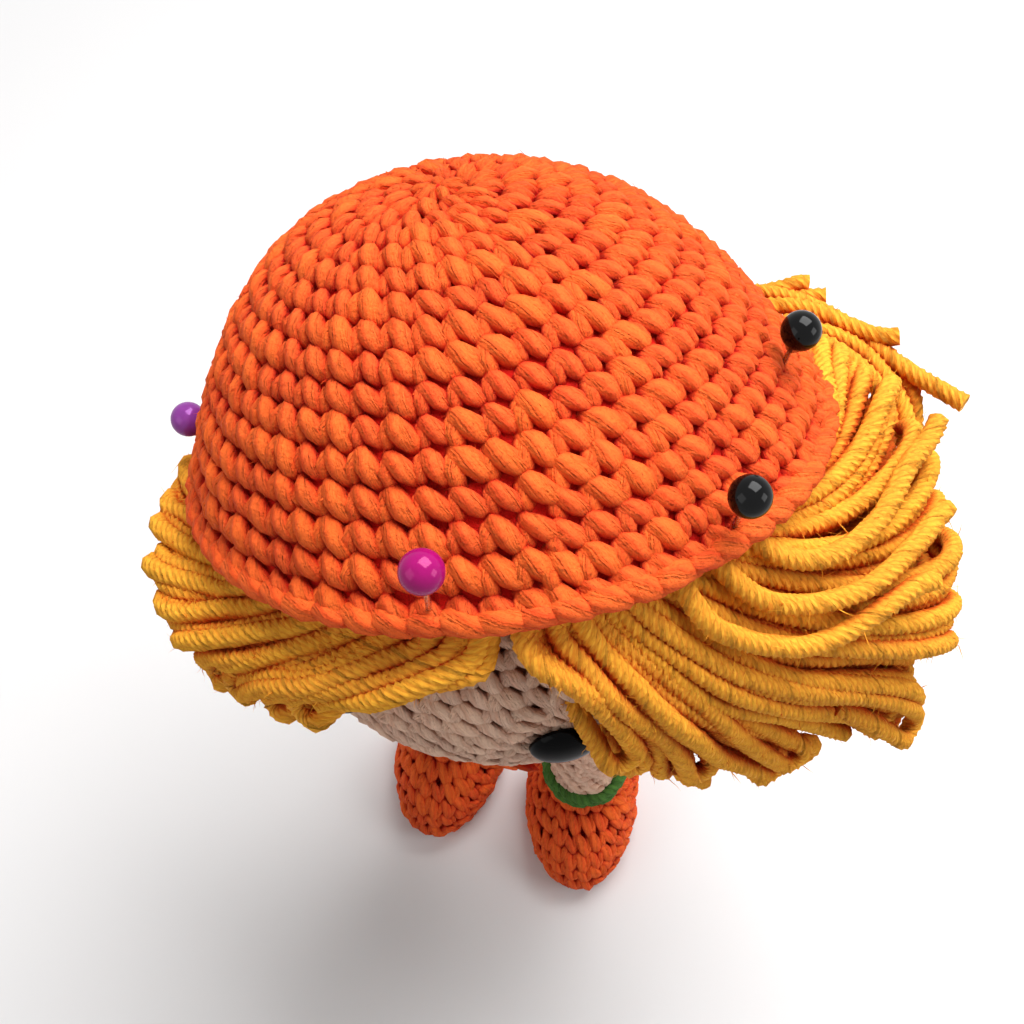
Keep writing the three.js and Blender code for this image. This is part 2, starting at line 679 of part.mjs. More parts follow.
function footForm(low, high, inset, side) {
  const shares = shoeShares.map(([height]) => height);
  const between = shares.filter((share) => share > low / ankleHeight && share < high / ankleHeight);
  const levels = [low / ankleHeight, ...between, high / ankleHeight];
  return lofted(levels.map((share) => footRing(share, inset, side)));
}

function addFoot(side) {
  const insoleFloor = limbWall + gap;
  const insoleTop = insoleFloor + insoleThickness;
  const inner = footForm(limbWall, ankleHeight, limbWall, side);
  const mouth = footRing(1, limbWall, side);
  const chimney = lofted([mouth, mouth.map((point) => point.clone().setZ(ankleHeight + overrun))]);
  const hollow = solid(inner).add(solid(moved(chimney, at(0, 0, -gap))));
  const shoe = cut(solid(footForm(0, ankleHeight, 0, side)), hollow);
  add(`shoe_${side}`, shoe, "clothing");
  add(`insole_${side}`, solid(footForm(insoleFloor, insoleTop, limbWall + gap, side)), "board");
  const filling = footForm(insoleTop + gap, ankleHeight, limbWall + gap, side);
  add(`foot_stuffing_${side}`, solid(filling), "filling");

  const profile = [];
  const reach = shoeHalfWidth * shoeShares[shoeShares.length - 1][1] + gap * 2 + trimHalfWidth;
  for (let i = 0; i <= rows.trim; i++) {
    const angle = (2 * Math.PI * i) / rows.trim;
    profile.push([reach + trimHalfWidth * Math.cos(angle), trimHalfHeight * Math.sin(angle)]);
  }
  const height = ankleHeight + gap + trimHalfHeight;
  const place = at(sides[side] * ankleSpacing, ankleSetBack[side], height);
  add(`ankle_trim_${side}`, solid(moved(turned(profile, facets.filling), place)), "trim");
}

// Assembly

add("hat", cut(hatBowl(0), ...tunnels), "clothing");
pinPlaces.forEach(addPin);
addHead();
const eyeCuts = eyePlaces.map(({ place, turn }) =>
  solid(moved(ball(eyeRadius + gap, eyeDomeHeight + gap, facets.limb), place, turn)));
const hairCuts = [headForm(-gap), hatBowl(gap), ...eyeCuts, ...tunnels];
Object.entries(locks).forEach(([name, stretch]) => addLock(name, stretch, hairCuts));
addBody();
add("arm_joint_yarn", jointYarn(shoulderSpacing, shoulderHeight, 0, true), "skin");
add("leg_joint_yarn", jointYarn(hipSpacing, hipHeight, 0, true), "skin");
Object.keys(sides).forEach((side) => {
  addArm(side);
  addLeg(side);
  addFoot(side);
});

// The origin is the middle of the bounding box on the ground
const box = new THREE.Box3().setFromObject(doll);
doll.position.set(-(box.min.x + box.max.x) / 2, -(box.min.y + box.max.y) / 2, -box.min.z);

export default doll;
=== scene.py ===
"""A crocheted doll with a pinned hat: its looks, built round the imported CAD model.

The file is laid out as an add-on and is run as a script. Lengths in the working code are
millimetres in the model's own frame, and they become metres where a mesh is made.
"""

import json
import math

import bmesh
import bpy
import numpy as np
from bpy.props import FloatProperty, FloatVectorProperty, IntProperty, PointerProperty
from mathutils import Matrix, Vector


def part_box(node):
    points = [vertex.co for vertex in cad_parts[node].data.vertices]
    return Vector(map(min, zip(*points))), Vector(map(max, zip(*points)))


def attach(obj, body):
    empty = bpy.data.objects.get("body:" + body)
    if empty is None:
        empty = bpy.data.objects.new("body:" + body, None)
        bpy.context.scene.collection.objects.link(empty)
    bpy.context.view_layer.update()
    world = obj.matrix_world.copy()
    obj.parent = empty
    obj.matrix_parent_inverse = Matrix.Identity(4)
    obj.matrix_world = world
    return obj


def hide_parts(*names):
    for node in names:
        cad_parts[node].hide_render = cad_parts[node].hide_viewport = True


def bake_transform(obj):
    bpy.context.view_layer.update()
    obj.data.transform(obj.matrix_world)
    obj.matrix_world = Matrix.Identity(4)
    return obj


bl_info = {
    "name": "Crocheted doll",
    "version": (1, 0, 0),
    "blender": (4, 5, 0),
    "location": "3D View > Sidebar > Doll",
    "description": "Builds a crocheted doll with yarn hair and a pinned hat",
    "category": "Object",
}

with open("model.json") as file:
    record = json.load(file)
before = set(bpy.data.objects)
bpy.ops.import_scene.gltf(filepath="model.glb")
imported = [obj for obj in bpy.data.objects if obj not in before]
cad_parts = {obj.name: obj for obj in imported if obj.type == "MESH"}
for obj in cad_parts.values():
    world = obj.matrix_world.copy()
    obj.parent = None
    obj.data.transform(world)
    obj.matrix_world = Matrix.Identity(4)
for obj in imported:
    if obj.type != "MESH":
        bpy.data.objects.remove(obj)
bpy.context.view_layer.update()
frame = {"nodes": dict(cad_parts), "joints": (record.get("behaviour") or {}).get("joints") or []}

MM = 0.001
TURN = 2 * math.pi


def node_box(name):
    """Lowest and highest corner of a CAD node, in millimetres."""
    low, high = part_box(name)
    return np.array(low) / MM, np.array(high) / MM


# Places and sizes that the pieces share, as the CAD has them
HEAD_RADIUS = 37
HEAD_HALF_HEIGHT = 36
head_low, head_high = node_box("head_cover")
HEAD = np.array([*(head_low + head_high)[:2] / 2, head_high[2] - HEAD_HALF_HEIGHT])

HAT_RIM = 42
HAT_DEPTH = 33.6
HAT_WALL = 3
HAT_LEAN = (math.radians(23.44), math.radians(15.9))
HAT_OFFSET = np.array([-1.57, 4.27, 8.18])
HAT_SLUMP = (-0.09, -0.012)
HAT_POWER = 1.067
HAT_ROOT = 2.714

EYE_RADIUS = 4.5
EYE_DOME = 2.3
# How deep the head is drawn in round an eye, how far round, and how far the eye stands off it
EYE_SUNK = 1.5
EYE_DIMPLE = 8
EYE_STAND = 0.3
# The depths of the eye's back and of its widest ring, and how far the back is rounded off
EYE_BACK = 0.4
EYE_RING = 0.1
EYE_ROUNDING = 0.3
EYE_SHANK = 1.6
EYE_SHANK_LENGTH = 8.5
EYE_AZIMUTH = math.radians(25)
EYE_DIP = math.radians(3)

PIN_BALL = 2.4
PIN_NECK = 0.85
PIN_NECK_LENGTH = 3.3
PIN_FLARE = math.radians(20)
PIN_BEVEL = 0.1
PIN_SHAFT = 0.35
PIN_LENGTH = 30
PIN_TIP = 2.2
# The shoulder of the point, as shares of the shaft's radius and of the point's length
PIN_SHOULDER = (0.5, 0.4)
BLACK = "#050506"
# Facets round a turned piece and along its dome or ball, and round a wire
TURNED_SIDES = 48
EYE_ROWS = 16
BALL_ROWS = 24
WIRE_SIDES = 20
# Each pin's finish
PINS = {
    "magenta": "magenta_pearl",
    "black_front": "black_gloss",
    "black_side": "black_gloss",
    "purple": "purple_pearl",
}

# Room between pieces that touch
CLEARANCE = 0.3

BODY_SET_BACK = 2
BODY_RADIUS = 17
BODY_LOW = 52
BODY_HIGH = 103.2
BODY_SHARES = np.array([
    [0, 0], [0.012, 0.18], [0.04, 0.34], [0.1, 0.6], [0.18, 0.83], [0.25, 0.96], [0.33, 1],
    [0.41, 0.98], [0.49, 0.92], [0.565, 0.845], [0.645, 0.76], [0.723, 0.68], [0.8, 0.615],
    [0.86, 0.565], [0.92, 0.535], [1, 0.518],
])
SHELF_ROUNDING = 2.4
NECK_TOP = 108.4
NECK_HEIGHT = 9.4
NECK_RADIUS = 7.4
NECK_FLARE = 1.2
SIDES = {"left": 1, "right": -1}

ARM_RADIUS = 5.2
ARM_LENGTH = 36
SHOULDER_FLAT = 0.2
SHOULDER_PLAY = 0.55
HAND_SPACING = 28.2
ARM_SHARES = np.array([[0, 1], [0.33, 0.9], [0.66, 0.87], [0.88, 0.97], [1, 1.02]])
SHOULDER_HEIGHT = 93

LEG_RADIUS = 7.5
LEG_SHARES = np.array([[0, 1], [0.35, 0.94], [0.7, 0.92], [1, 0.96], [1.02, 0.96]])
HIP_HEIGHT = 58
HIP_SPACING = 13
ANKLE_HEIGHT = 17.5
# The leg's stitches end this far above the ankle's centre, inside the trim
LEG_END = 0.8
SHOE_TOP = 19.3
ANKLE_SPACING = 15.5
ANKLE_SET_BACK = {"left": 4.5, "right": 8.6}
TOE_OUT = {"left": math.radians(10), "right": 0}
TRIM_RADIUS = 8
TRIM_FLARE = 0.5
TRIM_HEIGHT = 3.8
TRIM_STITCHES = 14
TRIM_DEPTH = 0.8
TRIM_ROUNDS = (0.2, 0.6)
SHOE_HALF_WIDTH = 12
SHOE_TOE = 22
SHOE_HEEL = 10.5
SHOE_SHARES = np.array([
    [0, 0.88, 0.92, 0.86], [0.09, 0.97, 0.975, 0.95], [0.29, 1, 1, 1],
    [0.51, 0.97, 0.92, 0.985], [0.71, 0.85, 0.7, 0.92], [0.87, 0.68, 0.42, 0.78],
    [1, 0.625, 0.341, 0.714],
])
# The wall turns into the sole at this share of the way, over a soft corner. The sole's rounds
# close at a middle of their own, and the floor presses it to this share of its unevenness.
SOLE_SHARE = 0.3
SOLE_CORNER = 0.025
SOLE_MIDDLE = -4
SOLE_SPRING = 0.1
SHOE_STITCHES = {"scale": 0.85, "relief": 0.7, "sunk": 0.3}

# One single crochet as it is drawn, before it is fitted to its place
STITCH_WIDTH = 4
STITCH_HEIGHT = 3.6
# How the stitches lie in the fabric: their highest point over the plane that they are placed
# on, the depth of the closed backing under the fabric's surface, and how wide one may stretch
STITCH_RISE = 1.45
BACKING_DEPTH = 1.9
TIGHT_BACKING_DEPTH = 1.65
WIDEST = 1.35
# The work climbs from round to round as a spiral, which sets in and runs out over some rounds
SPIRAL_START = 3
SPIRAL_END = 5
# The fewest stitches of a round, and how far a round's stitches stand on from those of the round
# before, as a share of a stitch
LEAST_STITCHES = 5
DRIFT = 0.3
# How much one stitch differs from the next in thickness, and how far the yarn wanders
PLUMPNESS_SPREAD = 0.12
UNEVENNESS = 0.7
# How finely a surface is measured for its stitches
SURFACE_ROWS = 241
SURFACE_SIDES = 36
# The backing's tone, and how far a skin-coloured one takes the painted shade colour
BACKING_TONE = 0.4
SKIN_BACKING_PAINTED_SHADE = 0.75


def linear(code):
    """A colour given as an sRGB hex code, as the linear values that the shaders take."""
    parts = [int(code[i : i + 2], 16) / 255 for i in (1, 3, 5)]
    return tuple(p / 12.92 if p <= 0.04045 else ((p + 0.055) / 1.055) ** 2.4 for p in parts)


def colour_property(name, description, code):
    return FloatVectorProperty(
        name=name, description=description, subtype="COLOR", size=3, min=0, max=1, default=linear(code)
    )


class DollSizes(bpy.types.PropertyGroup):
    """Sizes of the yarn and of the stitches worked with it."""

    stitch_width: FloatProperty(
        name="Stitch width", description="Width of one single crochet along its round",
        unit="LENGTH", default=STITCH_WIDTH * MM, min=2 * MM, max=8 * MM,
    )
    stitch_height: FloatProperty(
        name="Stitch height", description="Height of one round of single crochet",
        unit="LENGTH", default=STITCH_HEIGHT * MM, min=2 * MM, max=8 * MM,
    )
    strand_width: FloatProperty(
        name="Hair strand", description="Width of one strand of the hair yarn",
        unit="LENGTH", default=2.7 * MM, min=1 * MM, max=5 * MM,
    )
    looseness: FloatProperty(
        name="Looseness", description="How far a stitch may be turned out of line",
        subtype="ANGLE", default=math.radians(10), min=0, max=math.radians(30),
    )
    seed: IntProperty(
        name="Seed", description="Picks the irregularity of the hand work", default=4, min=0
    )


class DollColours(bpy.types.PropertyGroup):
    """Colours of the yarns and the pins."""

    hat: colour_property("Hat yarn", "Colour of the hat, the clothing and the shoes", "#F66526")
    # painted shade colour of the hat yarn, used between its stitches
    hat_painted_shade: colour_property("Hat yarn, deep", "Colour between the stitches of the hat", "#CE1200")
    skin: colour_property("Skin yarn", "Colour of the head, the arms and the legs", "#E8C0A6")
    # painted shade colour of the skin yarn, used between its stitches
    skin_painted_shade: colour_property("Skin yarn, deep", "Colour between the stitches of the head", "#B47058")
    hair: colour_property("Hair yarn", "Colour of the hair", "#FFB636")
    # painted shade colour of the hair yarn, used between its plies and on deep strands
    hair_painted_shade: colour_property("Hair yarn, deep", "Colour between the plies of the hair", "#D24600")
    trim: colour_property("Trim yarn", "Colour of the trims at the ankles", "#46702A")
    # painted shade colour of the trim yarn, used between its stitches
    trim_painted_shade: colour_property("Trim yarn, deep", "Colour between the stitches of the trims", "#1E3A12")
    magenta: colour_property("Magenta pin", "Colour of the magenta pin head", "#A40A6A")
    purple: colour_property("Purple pin", "Colour of the purple pin head", "#8E3E9A")


def sizes():
    return bpy.context.scene.doll_sizes


def colours():
    return bpy.context.scene.doll_colours


# Nodes and materials


def plug(node, inputs):
    """Sets a node's inputs. Each is a plain value, an output, or a node for its first output."""
    for key, value in inputs.items():
        if isinstance(value, bpy.types.Node):
            value = value.outputs[0]
        if isinstance(value, bpy.types.NodeSocket):
            node.id_data.links.new(value, node.inputs[key])
        else:
            node.inputs[key].default_value = value


def add_node(tree, kind, inputs=None, **settings):
    """Adds one node with its settings and what is plugged into it."""
    made = tree.nodes.new(kind)
    for key, value in settings.items():
        setattr(made, key, value)
    plug(made, inputs or {})
    return made


def new_material(name):
    """An empty node material and its tree, with a principled shader linked to the output."""
    material = bpy.data.materials.new(name)
    material.use_nodes = True
    tree = material.node_tree
    tree.nodes.clear()
    shader = add_node(tree, "ShaderNodeBsdfPrincipled")
    add_node(tree, "ShaderNodeOutputMaterial", {"Surface": shader})
    return material, tree, shader


# The yarn's patterns: locks of fibres round one strand, and sizes in millimetres of a lock's
# length, of the tufts of fuzz, of the blotches that the dye leaves and of the reach round a
# place within which the gaps between stitches that light hardly reaches get painted shade
FIBRE_LOCKS = 34
FIBRE_LENGTH = 2
TUFT = 0.625
BLOTCH = 25 / 3
GAP_REACH = 3
# How far the grooves between plies and the tufts take the painted shade colour
GROOVE_PAINTED_SHADE = 0.35
TUFT_PAINTED_SHADE = (-0.17, 0.35)
# The shares of open space round a place between which the painted shade colour turns into the yarn's own
GAP_SHADE = (0.2, 0.95)
# The yarn's roughness, and how much its fibres add to it
YARN_ROUGHNESS = (0.75, 0.2)
# How much strands, fibres and blotches differ in lightness, and strands in hue
TONE_SPREAD = 0.08
FIBRE_SPREAD = 0.4
BLOTCH_SPREAD = 0.3
HUE_SPREAD = 0.006
# How far the plies, the fibres and the tufts stand up, in millimetres
PLY_RELIEF = 0.3
FIBRE_RELIEF = 0.28
TUFT_RELIEF = 0.4
# The twist of the yarns: one turn of the plies in this length in millimetres
WORKED_LAY = 16
TRIM_LAY = 7


def yarn_material(name, colour, deep, lay=0, plies=4, nap=1.0):
    """Plied yarn, spun from crimped fibres: matt, with a soft sheen from the fuzz at grazing
    angles. Its plies show as slanting ridges. Painted shade: what lies deep between stitches, in
    the grooves between plies and in places that the piece itself shuts in, is painted darker and
    more saturated towards the painted shade colour, for the little light that reaches it through
    dyed fibre. The nap is how far its fibres stand up: less on combed yarn than on worked yarn.
    """
    if name in bpy.data.materials:
        return bpy.data.materials[name]
    material, tree, shader = new_material(name)
    along, around, depth_painted_shade, tone = (
        add_node(tree, "ShaderNodeAttribute", attribute_name=measure).outputs["Fac"]
        for measure in ("along", "around", "deep", "tone")
    )
    # the plies wind round the strand once in each lay length, or lie as the mesh has them
    wound = add_node(tree, "ShaderNodeMath", {0: along, 1: 1 / lay if lay else 0}, operation="MULTIPLY")
    turned = add_node(tree, "ShaderNodeMath", {0: wound, 1: around}, operation="ADD")
    phase = add_node(tree, "ShaderNodeMath", {0: turned, 1: TURN * plies}, operation="MULTIPLY")
    wave = add_node(tree, "ShaderNodeMath", {0: phase}, operation="COSINE")
    ply = add_node(tree, "ShaderNodeMath", {0: wave, 1: 0.5, 2: 0.5}, operation="MULTIPLY_ADD")
    # fibres run along the plies, so their noise is stretched that way: locks of fibres 0.25 mm
    # across, because a single fibre would be too fine to show
    across = add_node(tree, "ShaderNodeMath", {0: turned, 1: FIBRE_LOCKS}, operation="MULTIPLY")
    lengthways = add_node(
        tree, "ShaderNodeMath", {0: along, 1: 1 / (FIBRE_LENGTH * MM)}, operation="MULTIPLY"
    )
    fibre_place = add_node(tree, "ShaderNodeCombineXYZ", {0: across, 1: lengthways, 2: tone})
    fibres = add_node(
        tree, "ShaderNodeTexNoise", {"Vector": fibre_place, "Scale": 1.0, "Detail": 3.0}
    ).outputs["Fac"]
    place = add_node(tree, "ShaderNodeTexCoord").outputs["Object"]
    # tufts of fuzz break the plies' edges up
    tufts = add_node(
        tree, "ShaderNodeTexNoise",
        {"Vector": place, "Scale": 1 / (TUFT * MM), "Detail": 4.0, "Roughness": 0.6},
    ).outputs["Fac"]
    blotches = add_node(
        tree, "ShaderNodeTexNoise", {"Vector": place, "Scale": 1 / (BLOTCH * MM), "Detail": 2.0}
    ).outputs["Fac"]

    # painted shade: the grooves between the plies take part of the painted shade colour
    groove_painted_shade = add_node(
        tree, "ShaderNodeMapRange", {0: ply, 1: 0.0, 2: 0.5, 3: GROOVE_PAINTED_SHADE, 4: 0.0},
        interpolation_type="SMOOTHSTEP",
    )
    # painted shade: ambient occlusion within a few millimetres of the piece itself paints the places it shuts
    # in with the painted shade colour
    gap = add_node(
        tree, "ShaderNodeAmbientOcclusion", {"Distance": GAP_REACH * MM}, samples=6, only_local=True
    )
    gap_painted_shade = add_node(
        tree, "ShaderNodeMapRange",
        {0: gap.outputs["AO"], 1: GAP_SHADE[0], 2: GAP_SHADE[1], 3: 1.0, 4: 0.0},
        interpolation_type="SMOOTHSTEP",
    )
    # painted shade: a place's share for its depth in the fabric or for its gap, whichever is more
    most_painted_shade = add_node(tree, "ShaderNodeMath", {0: depth_painted_shade, 1: gap_painted_shade}, operation="MAXIMUM")
    shade = add_node(tree, "ShaderNodeMath", {0: groove_painted_shade, 1: most_painted_shade}, operation="MAXIMUM")
    # the tufts make the painted shade uneven
    uneven = add_node(
        tree, "ShaderNodeMath", {0: tufts, 1: TUFT_PAINTED_SHADE[1], 2: TUFT_PAINTED_SHADE[0]}, operation="MULTIPLY_ADD"
    )
    shade_uneven = add_node(
        tree, "ShaderNodeMath", {0: shade, 1: uneven}, operation="ADD", use_clamp=True
    )
    # the yarn's own colour, mixed towards its painted shade colour
    base = add_node(
        tree, "ShaderNodeMix", {0: shade_uneven, 6: (*colour, 1), 7: (*deep, 1)}, data_type="RGBA"
    ).outputs[2]

    # each spread lies evenly on both sides of the yarn's own colour
    lightness, light_fibres, cloudy = (
        add_node(tree, "ShaderNodeMath", {0: source, 1: spread, 2: 1 - spread / 2}, operation="MULTIPLY_ADD")
        for source, spread in ((tone, TONE_SPREAD), (fibres, FIBRE_SPREAD * nap), (blotches, BLOTCH_SPREAD))
    )
    value = add_node(tree, "ShaderNodeMath", {0: lightness, 1: light_fibres}, operation="MULTIPLY")
    value_all = add_node(tree, "ShaderNodeMath", {0: value, 1: cloudy}, operation="MULTIPLY")
    hue = add_node(
        tree, "ShaderNodeMath", {0: tone, 1: HUE_SPREAD, 2: (1 - HUE_SPREAD) / 2}, operation="MULTIPLY_ADD"
    )
    toned = add_node(
        tree, "ShaderNodeHueSaturation", {"Hue": hue, "Saturation": 1.0, "Value": value_all, "Color": base}
    )
    least, added = YARN_ROUGHNESS
    rough = add_node(tree, "ShaderNodeMath", {0: fibres, 1: added, 2: least}, operation="MULTIPLY_ADD")
    bump = None
    for height, relief in ((ply, PLY_RELIEF), (fibres, FIBRE_RELIEF), (tufts, TUFT_RELIEF)):
        under = {"Normal": bump} if bump else {}
        bump = add_node(
            tree, "ShaderNodeBump", {"Height": height, "Strength": nap, "Distance": relief * MM, **under}
        )
    plug(shader, {
        "Base Color": toned, "Roughness": rough, "Normal": bump, "Specular IOR Level": 0.25,
        "Sheen Weight": 0.35, "Sheen Roughness": 0.45, "Sheen Tint": (*colour, 1),
    })
    return material


def hat_yarn():
    return yarn_material("acrylic_yarn_orange", colours().hat, colours().hat_painted_shade, lay=WORKED_LAY * MM)


def skin_yarn():
    return yarn_material("acrylic_yarn_cream", colours().skin, colours().skin_painted_shade, lay=WORKED_LAY * MM)


def hair_yarn():
    return yarn_material(
        "acrylic_yarn_golden", colours().hair, colours().hair_painted_shade, plies=HAIR_PLIES, nap=HAIR_NAP
    )


def trim_yarn():
    return yarn_material("acrylic_yarn_green", colours().trim, colours().trim_painted_shade, lay=TRIM_LAY * MM)


# Patterns of the hard pieces: sizes in millimetres of the handling marks on plastic, with their
# depth, and of the lines that a die draws in wire
MARKS = 10 / 9
MARKS_DEPTH = 0.05
DRAWN_LINES = 0.2
# How much handling adds to a ball's roughness, and the wire's roughness with what its lines add
HANDLING = 0.12
WIRE_ROUGHNESS = (0.16, 0.2)
# How dark the plastic's clouds and the plain pieces' grain are, as shares of the colour
CLOUD_SHADE = 0.75
GRAIN_SHADE = 0.82


def gloss_material(name, colour, roughness=0.06, pearl=0.0, shine=0.25, bend=1.3):
    """Injection-moulded plastic ball, tumbled and lacquered: a clear coat over the colour, with
    fine scratches that only break the sharpest reflections. A pearl adds a soft inner glow.
    """
    if name in bpy.data.materials:
        return bpy.data.materials[name]
    material, tree, shader = new_material(name)
    place = add_node(tree, "ShaderNodeTexCoord").outputs["Object"]
    wear = add_node(
        tree, "ShaderNodeTexNoise", {"Vector": place, "Scale": 1 / (MARKS * MM), "Detail": 5.0}
    ).outputs["Fac"]
    smears = add_node(tree, "ShaderNodeMath", {0: wear, 1: HANDLING, 2: roughness}, operation="MULTIPLY_ADD")
    darker = tuple(c * CLOUD_SHADE for c in colour)
    cloud = add_node(tree, "ShaderNodeMix", {0: wear, 6: (*darker, 1), 7: (*colour, 1)}, data_type="RGBA")
    scratches = add_node(
        tree, "ShaderNodeBump", {"Height": wear, "Strength": 0.08, "Distance": MARKS_DEPTH * MM}
    )
    plug(shader, {
        "Base Color": cloud.outputs[2], "Roughness": smears, "Normal": scratches, "Metallic": pearl,
        "IOR": bend, "Specular IOR Level": shine, "Coat Weight": shine / 2, "Coat Roughness": 0.03,
    })
    return material


def steel_material():
    """Nickel-plated steel wire, drawn through a die: bright metal with fine lengthways lines."""
    if "nickel_plated_steel" in bpy.data.materials:
        return bpy.data.materials["nickel_plated_steel"]
    material, tree, shader = new_material("nickel_plated_steel")
    place = add_node(tree, "ShaderNodeTexCoord").outputs["Object"]
    lines = add_node(
        tree, "ShaderNodeTexNoise", {"Vector": place, "Scale": 1 / (DRAWN_LINES * MM), "Detail": 3.0}
    )
    least, added = WIRE_ROUGHNESS
    rough = add_node(tree, "ShaderNodeMath", {0: lines, 1: added, 2: least}, operation="MULTIPLY_ADD")
    plug(shader, {"Base Color": (*linear("#C9C6C0"), 1), "Metallic": 1.0, "Roughness": rough})
    return material


def plain_material(name, code, roughness, grain, bump):
    """Pressed card, moulded washer plastic or joint yarn: one pale colour with a fine grain of its
    own size and depth in millimetres, which is the board's fibre, the mould's texture or the
    yarn's twist.
    """
    if name in bpy.data.materials:
        return bpy.data.materials[name]
    material, tree, shader = new_material(name)
    place = add_node(tree, "ShaderNodeTexCoord").outputs["Object"]
    noise = add_node(tree, "ShaderNodeTexNoise", {"Vector": place, "Scale": 1 / (grain * MM), "Detail": 6.0})
    colour = linear(code)
    darker = tuple(c * GRAIN_SHADE for c in colour)
    mixed = add_node(tree, "ShaderNodeMix", {0: noise, 6: (*darker, 1), 7: (*colour, 1)}, data_type="RGBA")
    height = add_node(tree, "ShaderNodeBump", {"Height": noise, "Strength": 0.6, "Distance": bump * MM})
    plug(shader, {"Base Color": mixed.outputs[2], "Roughness": roughness, "Normal": height})
    return material


# Meshes


def new_object(name, vertices, faces=(), edges=(), smooth=True):
    """A mesh object from places in millimetres."""
    mesh = bpy.data.meshes.new(name)
    mesh.from_pydata((np.asarray(vertices, float) * MM).tolist(), list(edges), list(faces))
    mesh.update()
    if smooth:
        mesh.shade_smooth()
    made = bpy.data.objects.new(name, mesh)
    bpy.context.scene.collection.objects.link(made)
    return made


def set_attribute(target, name, values, kind="FLOAT"):
    attribute = target.data.attributes.new(name, kind, "POINT")
    key = "vector" if kind == "FLOAT_VECTOR" else "value"
    attribute.data.foreach_set(key, np.asarray(values, np.float32).ravel())


def unit(vectors):
    return vectors / np.maximum(np.linalg.norm(vectors, axis=-1, keepdims=True), 1e-9)


def catmull_rom(a, b, c, d, u):
    """The place at a share u of the way from b to c, on the curve that also heeds a and d."""
    return 0.5 * (2 * b + (c - a) * u + (2 * a - 5 * b + 4 * c - d) * u**2 + (3 * b - a - 3 * c + d) * u**3)


def smooth_line(points, count):
    """A Catmull-Rom curve through the points, as count places spread evenly over its spans."""
    points = np.asarray(points, float)
    ends = np.concatenate([[2 * points[0] - points[1]], points, [2 * points[-1] - points[-2]]])
    t = np.linspace(0, len(points) - 1 - 1e-9, count)
    i = t.astype(int)
    u = (t - i)[:, None]
    return catmull_rom(*(ends[i + k] for k in range(4)), u)


def lengths_along(path):
    """How far along a path each of its places lies."""
    return np.concatenate([[0], np.cumsum(np.linalg.norm(np.diff(path, axis=0), axis=1))])


def shares_along(path):
    lengths = lengths_along(path)
    return lengths / lengths[-1]


def swept(path, widths, thicknesses, sides, up):
    """A closed tube along a path, of elliptical section, as places, faces and its two measures:
    how far along the yarn and how far round it each place is."""
    path = np.asarray(path, float)
    ahead = unit(np.gradient(path, axis=0))
    across = unit(np.cross(ahead, up))
    rise = np.cross(across, ahead)
    angles = TURN * np.arange(sides) / sides
    ring = across[:, None] * (np.cos(angles)[None, :, None] * np.asarray(widths)[:, None, None])
    ring = ring + rise[:, None] * (np.sin(angles)[None, :, None] * np.asarray(thicknesses)[:, None, None])
    places = (path[:, None] + ring).reshape(-1, 3)
    rows = len(path)
    faces = []
    for r in range(rows - 1):
        for i in range(sides):
            j = (i + 1) % sides
            faces.append((r * sides + i, r * sides + j, (r + 1) * sides + j, (r + 1) * sides + i))
    faces.append(tuple(reversed(range(sides))))
    faces.append(tuple((rows - 1) * sides + i for i in range(sides)))
    along = np.repeat(lengths_along(path), sides)
    around = np.tile(angles / TURN, rows)
    return places, faces, along, around


def joined(parts):
    """Several swept tubes as one list of places and faces, with their measures."""
    places, faces, along, around = [], [], [], []
    for part in parts:
        start = sum(len(p) for p in places)
        places.append(part[0])
        faces += [tuple(i + start for i in face) for face in part[1]]
        along.append(part[2])
        around.append(part[3])
    return np.concatenate(places), faces, np.concatenate(along), np.concatenate(around)


# Stitches: one single crochet, and one link of an edge chain as long. X runs along the round, Y
# towards the next round and Z out of the fabric.
LEG_SIDES = 7
# The legs' paths, each with its half width and half thickness at every point
FRONT_LEG = np.array([
    [1.35, -1.95, -0.8, 0.85, 0.7], [0.9, -1.3, 0.1, 1.2, 0.95], [0.15, -0.45, 0.5, 1.42, 1.05],
    [-0.65, 0.4, 0.5, 1.42, 1.05], [-1.4, 1.2, 0.1, 1.2, 0.95], [-1.85, 1.85, -0.9, 0.85, 0.7],
])
REAR_LEG = np.array([
    [1.1, -1.6, -0.8, 0.7, 0.6], [1.5, -0.8, 0.0, 1.0, 0.8], [1.7, 0.15, 0.3, 1.12, 0.9],
    [1.55, 1.1, 0.05, 1.0, 0.8], [1.3, 1.8, -0.8, 0.7, 0.6],
])
LINK_PATH = np.array([
    [-2.9, 0.75, -0.75], [-1.7, 0.42, 0.12], [0, 0, 0.4], [1.7, -0.38, 0.22], [2.9, -0.6, -0.6],
])
LINK_WIDTHS = (0.65, 1.25, 1.5, 1.3, 0.7)
LINK_FLATNESS = 0.92
LINK_SIDES = 9
# The heights between which the yarn turns from its painted shade colour to its own
STITCH_SHADE = (-0.9, 0.9)
LINK_SHADE = (-1.3, 0.5)
SHADE_POWER = 1.6
UP = (0, 0, 1)
# Noise waves in a metre that make the stitches, the strands and the loose fibres uneven
STITCH_WAVES = 600
STRAND_WAVES = 900
FIBRE_WAVES = 1100
# The loose fibres: millimetres of length, thickness, its point and their curl, the most that they
# lean in radians, and the least and largest share of the length
LOOSE_LENGTH = 2
LOOSE_WIDTH = 0.06
LOOSE_POINT = 0.0002
LOOSE_CURL = 0.9
LOOSE_LEAN = (1.2, 1.2, 3.1)
LOOSE_SHARES = (0.4, 1.3)
LOOSE_TONE = 0.8


